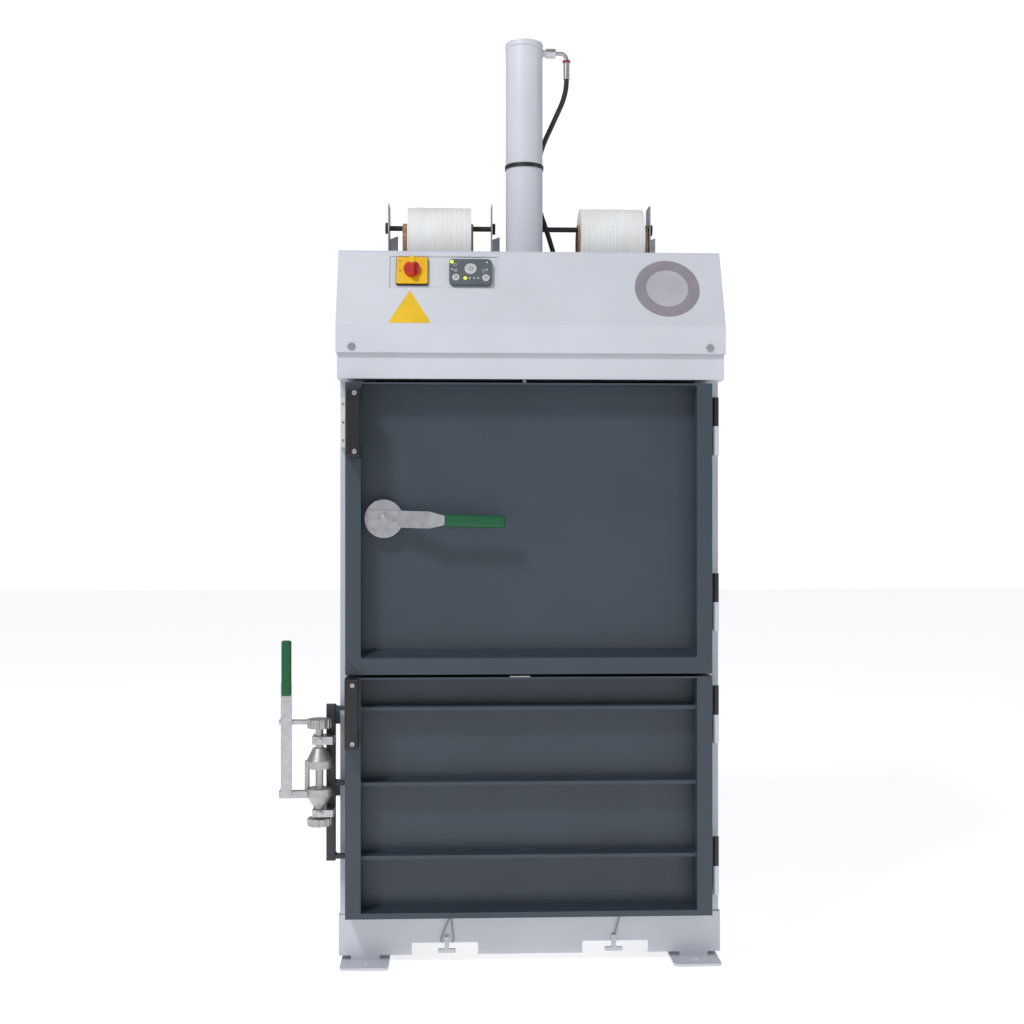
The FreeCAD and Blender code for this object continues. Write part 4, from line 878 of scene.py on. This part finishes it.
def door_top_bar():
    """Small white plastic strip on the lower door's top edge."""
    low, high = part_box("lower_door")
    shape = bmesh.new()
    bmesh.ops.create_cube(shape, size=1.0)
    centre = Vector((TOP_BAR_X, low[1] + TOP_BAR_BACK, high[2] + TOP_BAR_RISE))
    for vert in shape.verts:
        vert.co = Vector([part * size for part, size in zip(vert.co, TOP_BAR_SIZE)]) + centre
    finished("door_top_bar", from_bmesh("door_top_bar", shape), WHITE_PLASTIC, "lower_door")


def make_pieces():
    """Adds every piece that the CAD leaves to the visual model."""
    hydraulic_hose()
    hose_collar()
    strap_rolls()
    blank_plates()
    keypad_lamps()
    keypad_marks()
    switch_lever_cap()
    screws()
    latch_bolt()
    door_welds()
    corner_seams()
    cabinet_welds()
    strap_loops()
    door_top_bar()


# ---------------------------------------------------------------- camera and light
CAMERA_AT = Vector((-0.1514, -3.110, 0.9388))
CAMERA_YAW = math.radians(2.27)
CAMERA_PITCH = math.radians(0.15)
LENS_MM = 47.40
SENSOR_MM = 36.0


def set_camera():
    """Front view from a little left of the middle, at half the object's height."""
    data = bpy.data.cameras.new("camera")
    data.lens = LENS_MM
    data.sensor_width = SENSOR_MM
    camera = bpy.data.objects.new("camera", data)
    bpy.context.scene.collection.objects.link(camera)
    camera.location = CAMERA_AT
    camera.rotation_euler = (math.pi / 2 + CAMERA_PITCH, 0, -CAMERA_YAW)
    bpy.context.scene.camera = camera


def area_light(name, at, target, size, power):
    """A square lamp aimed at a point."""
    data = bpy.data.lights.new(name, "AREA")
    data.size = size
    data.energy = power
    lamp = bpy.data.objects.new(name, data)
    bpy.context.scene.collection.objects.link(lamp)
    lamp.location = at
    lamp.rotation_euler = (Vector(target) - Vector(at)).to_track_quat("-Z", "Y").to_euler()


AMBIENT_COLOUR = (0.92, 0.95, 1.0, 1)
AMBIENT_STRENGTH = 0.35
BACKDROP_STRENGTH = 1.05


def set_light():
    """Soft white surroundings, pure white to the camera, and a key light from the upper left."""
    world = bpy.data.worlds.new("studio")
    world.use_nodes = True
    tree = world.node_tree
    tree.nodes["Background"].inputs["Color"].default_value = AMBIENT_COLOUR
    tree.nodes["Background"].inputs["Strength"].default_value = AMBIENT_STRENGTH
    white = tree.nodes.new("ShaderNodeBackground")
    white.inputs["Color"].default_value = (1, 1, 1, 1)
    white.inputs["Strength"].default_value = BACKDROP_STRENGTH
    path = tree.nodes.new("ShaderNodeLightPath")
    mix = tree.nodes.new("ShaderNodeMixShader")
    tree.links.new(path.outputs["Is Camera Ray"], mix.inputs["Fac"])
    tree.links.new(tree.nodes["Background"].outputs[0], mix.inputs[1])
    tree.links.new(white.outputs[0], mix.inputs[2])
    tree.links.new(mix.outputs[0], tree.nodes["World Output"].inputs["Surface"])
    bpy.context.scene.world = world
    area_light("key", (-2.1, -2.8, 4.4), (0, 0, 0.9), 0.7, 104)
    area_light("front_fill", (0.9, -4.6, 1.5), (0, 0, 0.9), 2.6, 4)
    area_light("right_fill", (3.4, -1.2, 2.4), (0, 0, 1.1), 1.6, 8)
    bpy.context.scene.view_settings.view_transform = "Standard"


FLOOR_HALF = 14.0
FLOOR_GLOW = 0.62


def set_floor():
    """A wide plain floor, nearly as white as the surroundings."""
    mesh = bpy.data.meshes.new("floor")
    half = FLOOR_HALF
    corners = [(-half, -half, 0), (half, -half, 0), (half, half, 0), (-half, half, 0)]
    mesh.from_pydata(corners, [], [(0, 1, 2, 3)])
    floor = bpy.data.objects.new("floor", mesh)
    bpy.context.scene.collection.objects.link(floor)
    material, _, shader = node_material("floor_white")
    shader.inputs["Base Color"].default_value = (0.95, 0.95, 0.95, 1)
    shader.inputs["Roughness"].default_value = 0.9
    shader.inputs["Emission Color"].default_value = (1, 1, 1, 1)
    shader.inputs["Emission Strength"].default_value = FLOOR_GLOW
    mesh.materials.append(material)


set_camera()
make_pieces()
finish_nodes()
set_light()
set_floor()
